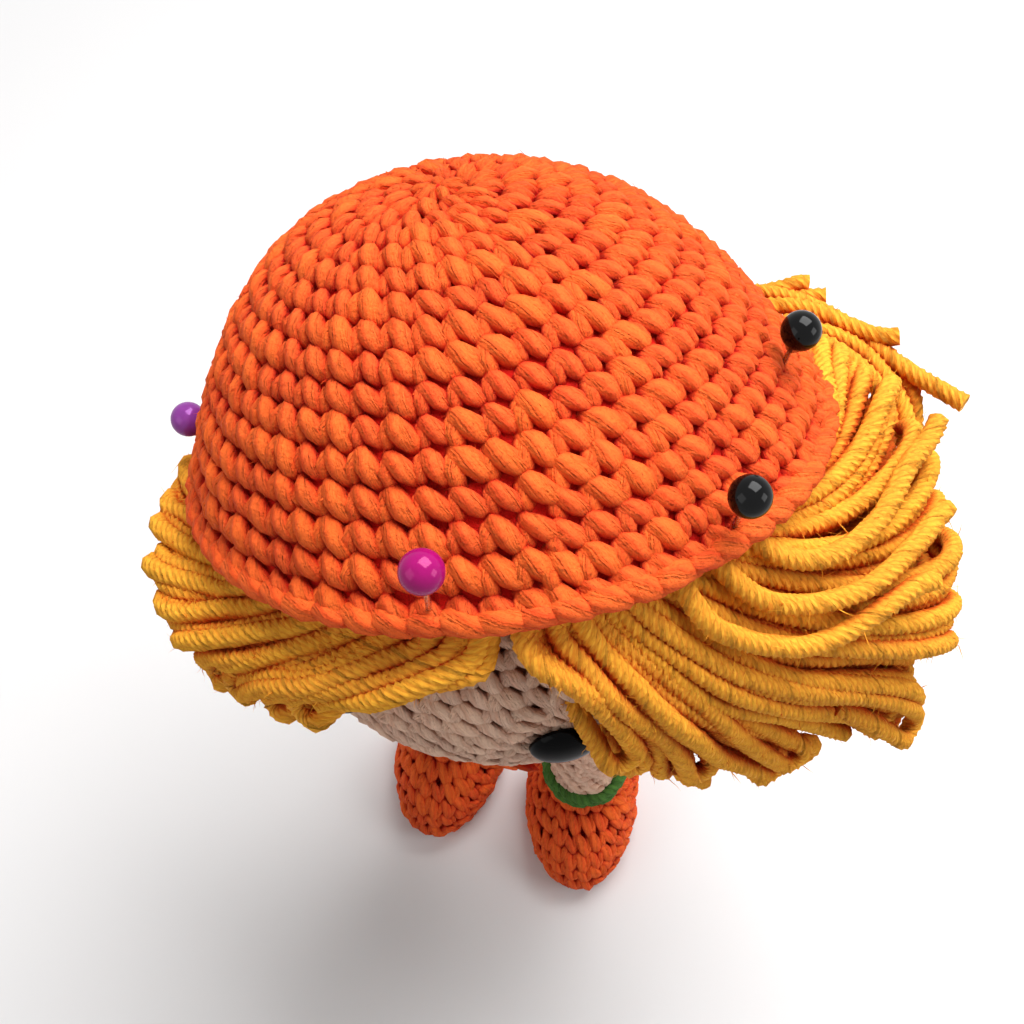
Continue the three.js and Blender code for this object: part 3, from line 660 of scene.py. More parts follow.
def stitch_object(name, parts, low, high):
    """One stitch as a hidden object, with painted shade that grows with how deep each place lies in the
    fabric.
    """
    places, faces, along, around = joined(parts)
    made = new_object(name, places, faces)
    # painted shade: the deeper a place lies in the fabric, the more it takes the painted shade colour
    deep = np.clip((high - places[:, 2]) / (high - low), 0, 1) ** SHADE_POWER
    set_attribute(made, "along", along * MM)
    set_attribute(made, "around", around)
    set_attribute(made, "deep", deep)
    bpy.context.scene.collection.objects.unlink(made)
    return made


def single_crochet():
    if "single_crochet" in bpy.data.objects:
        return bpy.data.objects["single_crochet"]
    legs = [swept(leg[:, :3], leg[:, 3], leg[:, 4], LEG_SIDES, UP) for leg in (FRONT_LEG, REAR_LEG)]
    return stitch_object("single_crochet", legs, *STITCH_SHADE)


def chain_link():
    if "chain_link" in bpy.data.objects:
        return bpy.data.objects["chain_link"]
    link = swept(LINK_PATH, LINK_WIDTHS, [w * LINK_FLATNESS for w in LINK_WIDTHS], LINK_SIDES, UP)
    return stitch_object("chain_link", [link], *LINK_SHADE)


def jittered(tree, geometry, amount, waves):
    """Moves every place of a geometry by a smooth noise of an amount, with its waves in a metre."""
    noise = add_node(tree, "ShaderNodeTexNoise", {"Scale": waves, "Detail": 2.0})
    centred = add_node(
        tree, "ShaderNodeVectorMath", {0: noise.outputs["Color"], 1: (0.5, 0.5, 0.5)}, operation="SUBTRACT"
    )
    offset = add_node(tree, "ShaderNodeVectorMath", {0: centred, "Scale": amount}, operation="SCALE")
    moved = add_node(tree, "GeometryNodeSetPosition", {"Geometry": geometry, "Offset": offset})
    return moved.outputs[0]


def loose_fibres(tree, geometry, given):
    """Fine fibres that stand out of the yarn, curled by noise. A real fibre is too thin to show,
    so these are drawn about four times as thick.
    """
    spots = add_node(
        tree, "GeometryNodeDistributePointsOnFaces",
        {"Mesh": geometry, "Density": given["Fuzz"], "Seed": given["Seed"]},
    )
    fibre = add_node(
        tree, "GeometryNodeMeshCone",
        {"Vertices": 3, "Side Segments": 3, "Radius Top": LOOSE_POINT * MM,
         "Radius Bottom": given["Fibre width"], "Depth": given["Fibre length"]},
        fill_type="NGON",
    )
    lean = add_node(
        tree, "FunctionNodeRandomValue", {0: [-a for a in LOOSE_LEAN], 1: LOOSE_LEAN, 8: given["Seed"]},
        data_type="FLOAT_VECTOR",
    )
    leant = add_node(tree, "FunctionNodeEulerToRotation", {0: lean})
    rotation = add_node(
        tree, "FunctionNodeRotateRotation", {"Rotation": spots.outputs["Rotation"], "Rotate By": leant},
        rotation_space="LOCAL",
    )
    least, largest = LOOSE_SHARES
    size = add_node(
        tree, "FunctionNodeRandomValue", {2: least, 3: largest, 8: given["Seed"]}, data_type="FLOAT"
    )
    placed = add_node(
        tree, "GeometryNodeInstanceOnPoints",
        {"Points": spots.outputs["Points"], "Instance": fibre.outputs["Mesh"], "Rotation": rotation,
         "Scale": size.outputs[1]},
    )
    real = add_node(tree, "GeometryNodeRealizeInstances", {0: placed})
    marked = jittered(tree, real.outputs[0], LOOSE_CURL * MM, FIBRE_WAVES)
    # the loose fibres take no painted shade, and one tone of their own
    for measure, value in (("deep", 0.0), ("tone", LOOSE_TONE)):
        marked = add_node(
            tree, "GeometryNodeStoreNamedAttribute", {"Geometry": marked, "Name": measure, "Value": value},
            data_type="FLOAT", domain="POINT",
        )
    return marked.outputs[0]


def empty_tree(name, first, inputs):
    """A Geometry Nodes tree with its named inputs, its nodes left to add, and those inputs."""
    tree = bpy.data.node_groups.new(name, "GeometryNodeTree")
    face = tree.interface
    face.new_socket("Geometry", in_out="OUTPUT", socket_type="NodeSocketGeometry")
    face.new_socket(first, in_out="INPUT", socket_type="NodeSocketGeometry")
    for socket, kind in (
        *inputs, ("Yarn", "Material"), ("Fuzz", "Float"), ("Fibre length", "Float"), ("Fibre width", "Float"),
        ("Seed", "Int"),
    ):
        face.new_socket(socket, in_out="INPUT", socket_type="NodeSocket" + kind)
    return tree, add_node(tree, "NodeGroupInput").outputs


def finish_tree(tree, parts, yarn):
    """Joins the parts of a piece, gives them their yarn and ends the tree."""
    whole = add_node(tree, "GeometryNodeJoinGeometry")
    for part in parts:
        tree.links.new(part, whole.inputs[0])
    finished = add_node(tree, "GeometryNodeSetMaterial", {"Geometry": whole, "Material": yarn})
    add_node(tree, "NodeGroupOutput", {0: finished})
    return tree


def worked_tree():
    """Geometry nodes that work one stitch on each place of a piece and close it with its backing."""
    if "Worked stitches" in bpy.data.node_groups:
        return bpy.data.node_groups["Worked stitches"]
    tree, given = empty_tree("Worked stitches", "Places", (
        ("Stitch", "Object"), ("Backing", "Object"), ("Looseness", "Float"), ("Plumpness spread", "Float"),
        ("Unevenness", "Float"),
    ))
    stitch = add_node(tree, "GeometryNodeObjectInfo", {"Object": given["Stitch"], "As Instance": True})
    turn = add_node(tree, "GeometryNodeInputNamedAttribute", {"Name": "turn"}, data_type="FLOAT_VECTOR")
    base = add_node(tree, "FunctionNodeEulerToRotation", {0: turn})
    less = add_node(tree, "ShaderNodeMath", {0: given["Looseness"], 1: -1.0}, operation="MULTIPLY")
    low = add_node(tree, "ShaderNodeCombineXYZ", {i: less for i in range(3)})
    high = add_node(tree, "ShaderNodeCombineXYZ", {i: given["Looseness"] for i in range(3)})
    sway = add_node(
        tree, "FunctionNodeRandomValue", {0: low, 1: high, 8: given["Seed"]}, data_type="FLOAT_VECTOR"
    )
    swayed = add_node(tree, "FunctionNodeEulerToRotation", {0: sway})
    rotation = add_node(
        tree, "FunctionNodeRotateRotation", {"Rotation": base, "Rotate By": swayed}, rotation_space="LOCAL"
    )
    girth = add_node(tree, "GeometryNodeInputNamedAttribute", {"Name": "girth"}, data_type="FLOAT_VECTOR")
    thin = add_node(tree, "ShaderNodeMath", {0: 1.0, 1: given["Plumpness spread"]}, operation="SUBTRACT")
    thick = add_node(tree, "ShaderNodeMath", {0: 1.0, 1: given["Plumpness spread"]}, operation="ADD")
    plump = add_node(
        tree, "FunctionNodeRandomValue", {2: thin, 3: thick, 8: given["Seed"]}, data_type="FLOAT"
    )
    scale = add_node(tree, "ShaderNodeVectorMath", {0: girth, "Scale": plump.outputs[1]}, operation="SCALE")
    placed = add_node(
        tree, "GeometryNodeInstanceOnPoints",
        {"Points": given["Places"], "Instance": stitch.outputs["Geometry"], "Rotation": rotation,
         "Scale": scale},
    )
    tone = add_node(tree, "FunctionNodeRandomValue", {2: 0.0, 3: 1.0, 8: given["Seed"]}, data_type="FLOAT")
    toned = add_node(
        tree, "GeometryNodeStoreNamedAttribute",
        {"Geometry": placed, "Name": "tone", "Value": tone.outputs[1]},
        data_type="FLOAT", domain="INSTANCE",
    )
    real = add_node(tree, "GeometryNodeRealizeInstances", {0: toned})
    uneven = jittered(tree, real.outputs[0], given["Unevenness"], STITCH_WAVES)
    fuzz = loose_fibres(tree, uneven, given)
    backing = add_node(tree, "GeometryNodeObjectInfo", {"Object": given["Backing"], "As Instance": False})
    return finish_tree(tree, (backing.outputs["Geometry"], fuzz, uneven), given["Yarn"])


def run_tree(holder, tree, values, name):
    """Runs a node tree on a holder object and returns its result as a plain mesh object."""
    modifier = holder.modifiers.new(name, "NODES")
    modifier.node_group = tree
    sockets = {item.name: item.identifier for item in tree.interface.items_tree if item.in_out == "INPUT"}
    for key, value in values.items():
        modifier[sockets[key]] = value
    view = bpy.context.evaluated_depsgraph_get()
    mesh = bpy.data.meshes.new_from_object(holder.evaluated_get(view), depsgraph=view)
    mesh.name = name
    made = bpy.data.objects.new(name, mesh)
    bpy.context.scene.collection.objects.link(made)
    bpy.data.objects.remove(holder)
    return made


def frames_on(surface, t, angle, facing):
    """The place and the along, down and outward directions of a surface, with their stretch."""
    step = 1e-3
    place = surface(t, angle)
    low, high = np.clip(t - step, 0, 1), np.clip(t + step, 0, 1)
    down = (surface(high, angle) - surface(low, angle)) / (high - low)[..., None]
    along = (surface(t, angle + step) - surface(t, angle - step)) / (2 * step)
    out = unit(np.cross(down, along)) * facing
    return place, along, down, out


def stitch_places(surface, facing=1, keep=None, scale=1.0, relief=1.0, sunk=STITCH_RISE):
    """Places of the stitches that cover a surface in rounds, worked as one spiral.

    surface(t, angle) gives places in millimetres, t runs over the rounds from 0 to 1 and angle
    goes once round. keep(places) says which stitches are made. Scale is the stitches' size,
    relief how far they stand out, and sunk how deep their middles lie under the surface.
    """
    levels = np.linspace(0, 1, SURFACE_ROWS)
    angles = TURN * np.arange(SURFACE_SIDES) / SURFACE_SIDES
    grid = surface(*np.meshgrid(levels, angles, indexing="ij"))
    length = np.concatenate([[0], np.cumsum(np.linalg.norm(np.diff(grid, axis=0), axis=2).mean(1))])
    girths = np.linalg.norm(grid - np.roll(grid, -1, axis=1), axis=2).sum(1)
    width, height = sizes().stitch_width / MM * scale, sizes().stitch_height / MM * scale
    rounds = max(2, round(length[-1] / height))
    pitch = length[-1] / rounds
    places, turns, girth = [], [], []
    shift = 0.0
    for k in range(rounds):
        widest = max(np.interp([k * pitch, (k + 1) * pitch], length, girths))
        count = max(LEAST_STITCHES, round(widest / width))
        j = np.arange(count)
        winding = min(1, k / SPIRAL_START, (rounds - 1 - k) / SPIRAL_END)
        level = (k + 0.5 + (j / count - 0.5) * winding) * pitch
        t = np.interp(level, length, levels)
        angle = shift - (TURN + DRIFT * TURN / count) * j / count
        shift -= DRIFT * TURN / count
        place, along, down, out = frames_on(surface, t, angle, facing)
        across = np.linalg.norm(along, axis=1) * TURN / count / STITCH_WIDTH
        stretch = np.gradient(length, levels)
        tall = pitch / STITCH_HEIGHT * np.linalg.norm(down, axis=1) / np.interp(t, levels, stretch)
        y = unit(down - out * (down * out).sum(1, keepdims=True))
        x = np.cross(y, out)
        places.append(place - out * sunk)
        turns.append(np.stack([x, y, out], axis=2))
        across, tall = np.minimum(across, WIDEST), np.minimum(tall, WIDEST)
        girth.append(np.stack([across, tall, np.full(count, relief)], axis=1))
    places, turns, girth = np.concatenate(places), np.concatenate(turns), np.concatenate(girth)
    if keep is not None:
        kept = keep(places)
        places, turns, girth = places[kept], turns[kept], girth[kept]
    return places, turns, girth


def edge_places(surface, t, count, depth, drop, phase):
    """Places of the links of a chain that edges a surface at one level, at a depth under it. The
    drop moves them down the surface, and the phase turns them on by a share of a link.
    """
    angle = -TURN * (np.arange(count) + phase) / count
    place, along, down, out = frames_on(surface, np.full(count, t), angle, 1)
    y = unit(down - out * (down * out).sum(1, keepdims=True))
    x = np.cross(y, out)
    across = np.linalg.norm(along, axis=1) * TURN / count / STITCH_WIDTH
    girth = np.stack([across, np.ones(count), np.ones(count)], axis=1)
    return place - out * depth + y * drop, np.stack([x, y, out], axis=2), girth


def closed_skin(surface, inset, rows, sides, facing=1):
    """A closed form under a surface, inset from it, as places and faces."""
    levels = np.linspace(0, 1, rows)
    angles = TURN * np.arange(sides) / sides
    t, a = np.meshgrid(levels, angles, indexing="ij")
    place, _, _, out = frames_on(surface, t.ravel(), a.ravel(), facing)
    ring = (place - out * inset).reshape(rows, sides, 3)
    places = ring.reshape(-1, 3)
    faces = []
    for r in range(rows - 1):
        for i in range(sides):
            j = (i + 1) % sides
            quad = (r * sides + i, (r + 1) * sides + i, (r + 1) * sides + j, r * sides + j)
            faces.append(quad if facing > 0 else quad[::-1])
    top, low = len(places), len(places) + 1
    places = np.concatenate([places, ring[0].mean(0)[None], ring[-1].mean(0)[None]])
    for i in range(sides):
        j = (i + 1) % sides
        first, last = (top, i, j), (low, (rows - 1) * sides + j, (rows - 1) * sides + i)
        faces.append(first if facing > 0 else first[::-1])
        faces.append(last if facing > 0 else last[::-1])
    return places, faces


def backing_object(name, places, faces, deep=1.0):
    """The closed form under the stitches, painted in the yarn's painted shade colour as painted shade between
    them.
    """
    made = new_object(name, places, faces)
    low, high = places.min(0), places.max(0)
    set_attribute(made, "along", (places[:, 2] - low[2]) * MM)
    set_attribute(made, "around", np.arctan2(*(places - (low + high) / 2)[:, :2].T) / TURN)
    # painted shade: the whole backing takes this share of the painted shade colour
    set_attribute(made, "deep", np.full(len(places), deep))
    set_attribute(made, "tone", np.full(len(places), BACKING_TONE))
    bpy.context.scene.collection.objects.unlink(made)
    return made


def fuzz_values(density):
    """What the trees need for loose fibres, of which density stand on each square millimetre."""
    return {
        "Fuzz": density / MM**2, "Fibre length": LOOSE_LENGTH * MM, "Fibre width": LOOSE_WIDTH * MM,
    }


def work(name, stitch, placed, backing, yarn, seed, fuzz=0.0):
    """Works stitches on their places over a backing, as one plain mesh."""
    places, turns, girth = placed
    holder = new_object(name + "_places", places, smooth=False)
    eulers = np.array([Matrix(turn).to_euler() for turn in turns.tolist()])
    set_attribute(holder, "turn", eulers, "FLOAT_VECTOR")
    set_attribute(holder, "girth", girth, "FLOAT_VECTOR")
    values = {
        "Stitch": stitch, "Yarn": yarn, "Plumpness spread": PLUMPNESS_SPREAD,
        "Looseness": sizes().looseness, "Unevenness": UNEVENNESS * MM, "Seed": sizes().seed + seed,
        **fuzz_values(fuzz),
    }
    if backing is not None:
        values["Backing"] = backing
    return run_tree(holder, worked_tree(), values, name)


def settle(piece, body, nodes):
    """Says what a finished piece rides on, and hides the parts of the CAD that it stands for."""
    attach(piece, body)
    if nodes:
        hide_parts(*nodes)


def turned_form(name, profile, sides, place, way, material, sharp=math.radians(40)):
    """A solid of revolution from [radius, height] pairs, its heights running along a direction."""
    profile = np.asarray(profile, float)
    angles = TURN * np.arange(sides) / sides
    build = bmesh.new()
    turn = Vector((0, 0, 1)).rotation_difference(Vector(way)).to_matrix()
    rings = []
    for radius, height in profile:
        if radius <= 0:
            rings.append([build.verts.new((turn @ Vector((0, 0, height)) + Vector(place)) * MM)])
            continue
        ring = [Vector((radius * math.cos(a), radius * math.sin(a), height)) for a in angles]
        rings.append([build.verts.new((turn @ p + Vector(place)) * MM) for p in ring])
    for low, high in zip(rings, rings[1:]):
        for i in range(sides):
            j = (i + 1) % sides
            corners = [low[i % len(low)], low[j % len(low)], high[j % len(high)], high[i % len(high)]]
            build.faces.new(list(dict.fromkeys(corners)))
    bmesh.ops.recalc_face_normals(build, faces=build.faces)
    mesh = bpy.data.meshes.new(name)
    build.to_mesh(mesh)
    build.free()
    mesh.shade_smooth()
    mesh.set_sharp_from_angle(angle=sharp)
    mesh.materials.append(material)
    made = bpy.data.objects.new(name, mesh)
    bpy.context.scene.collection.objects.link(made)
    return made


def arc(radii, start, end, count, first=1):
    """A quarter or more of an ellipse as places of a profile, ending on its axis at the top."""
    places = []
    for i in range(first, count + 1):
        a = start + (end - start) * i / count
        places.append((radii[0] * math.cos(a) if i < count else 0, radii[1] * math.sin(a)))
    return places


# Hat

# Stitches round the rim's edging, and the depth, drop and phase of its two chains
RIM_STITCHES = 66
EDGE_CHAINS = ((1.0, -0.7, 0.0), (2.5, -0.3, 0.5))
# The share of the way to the rim that the backing reaches, and the loose fibres on a square
# millimetre of the hat and of its edge
HAT_BACKING_END = 0.985
HAT_FUZZ = 0.1
EDGE_FUZZ = 0.2


def rotation(angle, axis):
    return np.array(Matrix.Rotation(angle, 3, axis))


HAT_TURN = rotation(-HAT_LEAN[1], "Y") @ rotation(-HAT_LEAN[0], "X")
HAT_CENTRE = HEAD + HAT_OFFSET


def hat_radius(share):
    return HAT_RIM * (1 - share**HAT_POWER) ** (1 / HAT_ROOT)


def from_hat(points):
    """Places of the hat's own leaning frame, in the model's frame."""
    x = points[..., 0] + HAT_SLUMP[0] * points[..., 2]
    y = points[..., 1] + HAT_SLUMP[1] * points[..., 2]
    return np.stack([x, y, points[..., 2]], axis=-1) @ HAT_TURN.T + HAT_CENTRE


def hat_height(places):
    """How far places lie above the plane of the hat's rim."""
    return (places - HAT_CENTRE) @ HAT_TURN[:, 2]


# The outline runs nearly level at the crown, so its measured heights lie closest there
HAT_LEVELS = 1 - np.linspace(0, 1, 400) ** 2.2
hat_line = np.stack([hat_radius(HAT_LEVELS), HAT_DEPTH * HAT_LEVELS], axis=1)
hat_lengths = shares_along(hat_line)


def hat_surface(t, angle):
    radius = np.interp(t, hat_lengths, hat_line[:, 0])
    height = np.interp(t, hat_lengths, hat_line[:, 1])
    return from_hat(np.stack([radius * np.cos(angle), radius * np.sin(angle), height], axis=-1))


def hat_backing():
    """The hat's inner wall: a closed bowl between two insets of its surface, painted all over in the painted
    shade colour of the hat's yarn.
    """
    rows, sides = 40, 72
    levels = np.linspace(0, 1, rows) * HAT_BACKING_END
    angles = TURN * np.arange(sides) / sides
    t, a = np.meshgrid(levels, angles, indexing="ij")
    place, _, _, out = frames_on(hat_surface, t.ravel(), a.ravel(), 1)
    walls = [(place - out * depth).reshape(rows, sides, 3) for depth in (TIGHT_BACKING_DEPTH, HAT_WALL)]
    places = np.concatenate([wall.reshape(-1, 3) for wall in walls])
    places = np.concatenate([places, *(wall[0].mean(0)[None] for wall in walls)])
    faces = []
    inner = rows * sides
    for i in range(sides):
        j = (i + 1) % sides
        for r in range(rows - 1):
            quad = (r * sides + i, (r + 1) * sides + i, (r + 1) * sides + j, r * sides + j)
            faces.append(quad)
            faces.append(tuple(inner + v for v in quad[::-1]))
        last = (rows - 1) * sides
        faces.append((last + i, inner + last + i, inner + last + j, last + j))
        faces.append((2 * inner, i, j))
        faces.append((2 * inner + 1, inner + j, inner + i))
    return backing_object("hat_backing", places, faces)


class DOLL_OT_hat(bpy.types.Operator):
    """Crochets the leaning hat in rounds from its crown and edges it with a chain"""

    bl_idname = "doll.hat"
    bl_label = "Hat"

    def execute(self, context):
        placed = stitch_places(hat_surface)
        piece = work(
            "hat_crochet", single_crochet(), placed, hat_backing(), hat_yarn(), seed=1, fuzz=HAT_FUZZ
        )
        settle(piece, "head", ["hat"])
        chains = [edge_places(hat_surface, 1.0, RIM_STITCHES, *chain) for chain in EDGE_CHAINS]
        placed = [np.concatenate(pair) for pair in zip(*chains)]
        edge = work("hat_edge_crochet", chain_link(), placed, None, hat_yarn(), seed=7, fuzz=EDGE_FUZZ)
        settle(edge, "head", ["hat"])
        return {"FINISHED"}


# Hair: azimuth from the face towards the doll's left, then the radius and height of the outward
# swell, the radius and height of the ends, and the thickness, as shares of the head's radius
HAIR_SHARES = np.array([
    [-180, 1.2, -0.47, 1.19, -0.76, 0.14], [-120, 1.25, -0.42, 1.22, -0.7, 0.14],
    [-95, 1.3, -0.25, 1.24, -0.59, 0.17], [-70, 1.32, 0, 1.24, -0.38, 0.17],
    [-53, 1.34, 0.12, 1.3, -0.14, 0.15], [-36, 1.24, 0.2, 1.25, -0.06, 0.13],
    [-24, 1.17, 0.33, 1.17, 0.14, 0.11], [-12, 1.11, 0.43, 1.09, 0.24, 0.1],
    [2, 1.03, 0.57, 1.03, 0.42, 0.09], [13, 0.93, 0.66, 0.95, 0.58, 0.08],
    [23, 1, 0.58, 1.01, 0.47, 0.09], [30, 1.07, 0.46, 1.07, 0.28, 0.1],
    [37, 1.12, 0.32, 1.12, 0, 0.12], [43, 1.16, 0.22, 1.15, -0.27, 0.14],
    [53, 1.22, 0.11, 1.18, -0.68, 0.18], [67, 1.35, 0.08, 1.38, -0.59, 0.25],
    [80, 1.59, 0.08, 1.68, -0.46, 0.3], [89, 1.65, 0.05, 1.66, -0.49, 0.3],
    [100, 1.54, 0.11, 1.54, -0.51, 0.28], [115, 1.35, 0.27, 1.35, -0.57, 0.22],
    [132, 1.27, 0, 1.27, -0.65, 0.17], [150, 1.22, -0.2, 1.22, -0.73, 0.15],
    [180, 1.2, -0.47, 1.19, -0.76, 0.14],
])
# The locks between these places of the rim, in degrees from the doll's left towards its back
LOCKS = {
    "hair_front_left": (-72, -37), "hair_bunch_left": (-37, 25), "hair_back_left": (25, 77),
    "hair_back": (77, 129), "hair_back_right": (129, 181), "hair_side_right": (181, 236),
    "hair_front_right": (236, 291),
}
# How the strands are combed: the place on the rim and the share of the way down, for strands all
# round the head from the parting at the front. Every strand lies between two of these.
COMBED = np.array([
    [[-70, 0], [-70, 0.35], [-68, 0.75], [-65, 0.95], [-61, 1.1], [-57, 1.1]],
    [[-67, 0], [-67, 0.35], [-63, 0.6], [-58, 0.78], [-54, 0.92], [-49, 1.12]],
    [[-62, 0], [-61, 0.4], [-56, 0.58], [-51, 0.74], [-45, 0.92], [-37, 1.12]],
    [[-57, 0], [-55, 0.38], [-48, 0.56], [-41, 0.7], [-33, 0.87], [-25, 1.11]],
    [[-51, 0], [-48, 0.36], [-38, 0.54], [-28, 0.67], [-18, 0.84], [-12, 1.1]],
    [[-46, 0], [-41, 0.32], [-29, 0.5], [-16, 0.62], [-4, 0.78], [2, 1.06]],
    [[-41, 0], [-34, 0.28], [-20, 0.44], [-4, 0.56], [9, 0.72], [15, 1]],
    [[-36, 0], [-28, 0.25], [-12, 0.39], [6, 0.49], [18, 0.66], [24, 0.96]],
    [[-30, 0], [-20, 0.22], [-3, 0.35], [16, 0.46], [28, 0.66], [34, 1]],
    [[-18, 0], [-8, 0.2], [9, 0.33], [26, 0.46], [37, 0.68], [43, 1.04]],
    [[0, 0], [9, 0.21], [24, 0.36], [38, 0.52], [48, 0.74], [53, 1.1]],
    [[25, 0], [31, 0.25], [42, 0.4], [52, 0.56], [59, 0.78], [63, 1.12]],
    [[50, 0], [54, 0.28], [61, 0.44], [68, 0.6], [73, 0.8], [75, 1.1]],
    [[77, 0], [79, 0.3], [82, 0.48], [85, 0.62], [87, 0.8], [89, 1.05]],
    [[104, 0], [104, 0.3], [104, 0.5], [104, 0.65], [104, 0.82], [104, 1.03]],
    [[130, 0], [129, 0.3], [128, 0.5], [127, 0.65], [126, 0.82], [126, 1.03]],
    [[155, 0], [153, 0.3], [150, 0.5], [148, 0.65], [146, 0.82], [145, 1.03]],
    [[185, 0], [180, 0.3], [175, 0.45], [170, 0.6], [167, 0.8], [165, 1.03]],
    [[210, 0], [203, 0.32], [194, 0.45], [188, 0.6], [185, 0.8], [184, 1.05]],
    [[232, 0], [224, 0.35], [214, 0.46], [207, 0.62], [203, 0.84], [203, 1.1]],
    [[248, 0], [240, 0.38], [231, 0.5], [223, 0.66], [218, 0.9], [217, 1.17]],
    [[262, 0], [254, 0.36], [245, 0.5], [237, 0.7], [231, 0.96], [229, 1.22]],
    [[274, 0], [267, 0.33], [259, 0.5], [252, 0.68], [244, 0.9], [239, 1.13]],
    [[282, 0], [277, 0.38], [270, 0.46], [261, 0.62], [253, 0.87], [247, 1.15]],
    [[286, 0], [284, 0.4], [279, 0.53], [271, 0.66], [263, 0.9], [257, 1.13]],
    [[288, 0], [287, 0.4], [283, 0.68], [277, 0.82], [271, 0.88], [265, 0.97]],
])
# Strands that stray from the bunch, as places from the head's centre
STRAYS = (
    [[16, 37.5, -5.5], [22, 40.5, -3], [29, 42, -0.5], [39.4, 38.5, 1], [49.4, 31.8, 1.5], [58.2, 27.3, 2]],
    [[19, 36.5, -4.5], [26, 39, -1.5], [33.9, 39.3, 1], [41, 36.8, 2], [45.6, 35.6, 2.5], [48, 35.9, 3]],
    [[13, 39, -7], [20, 42, -4.5], [27, 42.5, -2], [31, 43.5, -0.5], [33.3, 44.6, 0], [34.5, 44.8, 0]],
    [[14, 38, -8], [21, 41.5, -5], [28.5, 42.3, -2.5], [32.8, 42.3, -1], [35.3, 42.7, -0.3], [37.3, 43, 0]],
    [[24, 31, -3], [32, 36.5, 0], [38, 38, 1], [44, 36, 1], [48.5, 33, 0.5], [51.5, 29.5, -1], [53, 26, -4]],
    [
        [26, 29, -2], [33.5, 34.5, 1], [39.5, 35, 1.5], [45, 32.5, 1], [49, 28.5, 0], [51.5, 25, -2],
        [52.5, 21, -5],
    ],
    [[28, 27, -1], [36, 32.5, 2], [41, 31.5, 2], [45.5, 29, 1], [48.5, 26, -1], [50.5, 22.5, -4]],
    [[25, 30, -5], [32, 34.5, -3], [38, 35.5, -2.5], [44, 33.5, -2.5], [48, 30, -3.5], [51, 26, -6]],
)
# Strands that lie across the bunch, as places of the rim and shares of the way down, and the
# depths they have at shares of the way down: they come out of the bunch and lie on it
CROSSING = (
    [
        [-41, 0.2], [-42, 0.36], [-41, 0.44], [-36, 0.5], [-29, 0.55], [-24, 0.555], [-20, 0.54],
        [-15, 0.55], [-12, 0.57],
    ],
    [[-27, 0.2], [-26, 0.38], [-20, 0.44], [-12, 0.46], [-3, 0.48], [5, 0.53], [11, 0.6]],
    [[-35, 0.2], [-34, 0.4], [-28, 0.48], [-19, 0.51], [-10, 0.52], [-5, 0.54], [-2, 0.57]],
)
CROSSING_DEPTHS = ((0.2, 0.4), (3, -1.2))
# The layers of strands, from the outside: how deep they lie in the hair, and how far apart
LAYERS = ((0, 2.1), (0.45, 2.6), (1, 3.6))
# The least depth of a strand under the hair's face, how much deeper one may lie than the next,
# and how far and how many times it rises and sinks on its own way
HAIR_SHALLOW = 1.3
HAIR_RELIEF = 2.6
HAIR_ROLL = 0.4
HAIR_ROLLS = (0.6, 1.4)
# A strand that lies as deep as the second of these is fully painted in the shade colour as painted shade, one
# as deep as the first keeps its own colour
HAIR_PAINTED_SHADE = (2.6, 8)
# How far a strand lies off its even place, as a share of the spacing, how far it waves, in
# degrees of the rim, and how much shorter or longer it ends, as a share of its length
HAIR_SCATTER = 0.3
HAIR_WAVE = 1.3
HAIR_ENDS = (-0.14, 0.03)
# The heights over the rim where the strands start and where they leave the hat, and how far they
# lie under its wall
HAIR_TUCK = 4.5
HAIR_EXIT = 0.2
HAIR_INSET = (0.9, 2.2)
# The share of strands whose end turns back in a loop, half the loop's width, the angles of its
# bend, the places before the end that it runs back beside, and how much deeper each step lies
LOOP_SHARE = 0.5
LOOP_REACH = (1.3, 2.1)
LOOP_BEND = (0.8, 1.6, 2.4, 3.1)
LOOP_BACK = (3, 6, 9, 12)
LOOP_SINK = 0.5
LOOP_PLACES = 16
# Places of a path, and how many times its bends are eased
PATH_PLACES = 60
EASING = 20
# The combing is measured on this many trial strands, at these of their places
TRIAL_STRANDS = 900
TRIAL_PLACES = 24
TRIAL_STATIONS = (8, 15, 21)
# The yarn: its plies, the length of one turn, the steps along it, the grooves' depth as a share
# of its radius, how far it wanders, its nap and the loose fibres on a square millimetre
HAIR_PLIES = 6
HAIR_LAY = 7.5
HAIR_STEP = 1.0
PLY_DEPTH = 0.05
STRAND_UNEVENNESS = 0.3
HAIR_NAP = 0.65
HAIR_FUZZ = 0.045
# The bunch's loose upper side stands off by up to the swell round this place of the rim, within
# this reach. The innermost layer stands off by this share less. From the end on, as a share of
# the way down, a strand stands off evenly.
HAIR_SWELL = 5
SWELL_MIDDLE = 24
SWELL_REACH = 26
SWELL_INNER = 0.5
SWELL_END = 0.75
GOLDEN = (math.sqrt(5) - 1) / 2


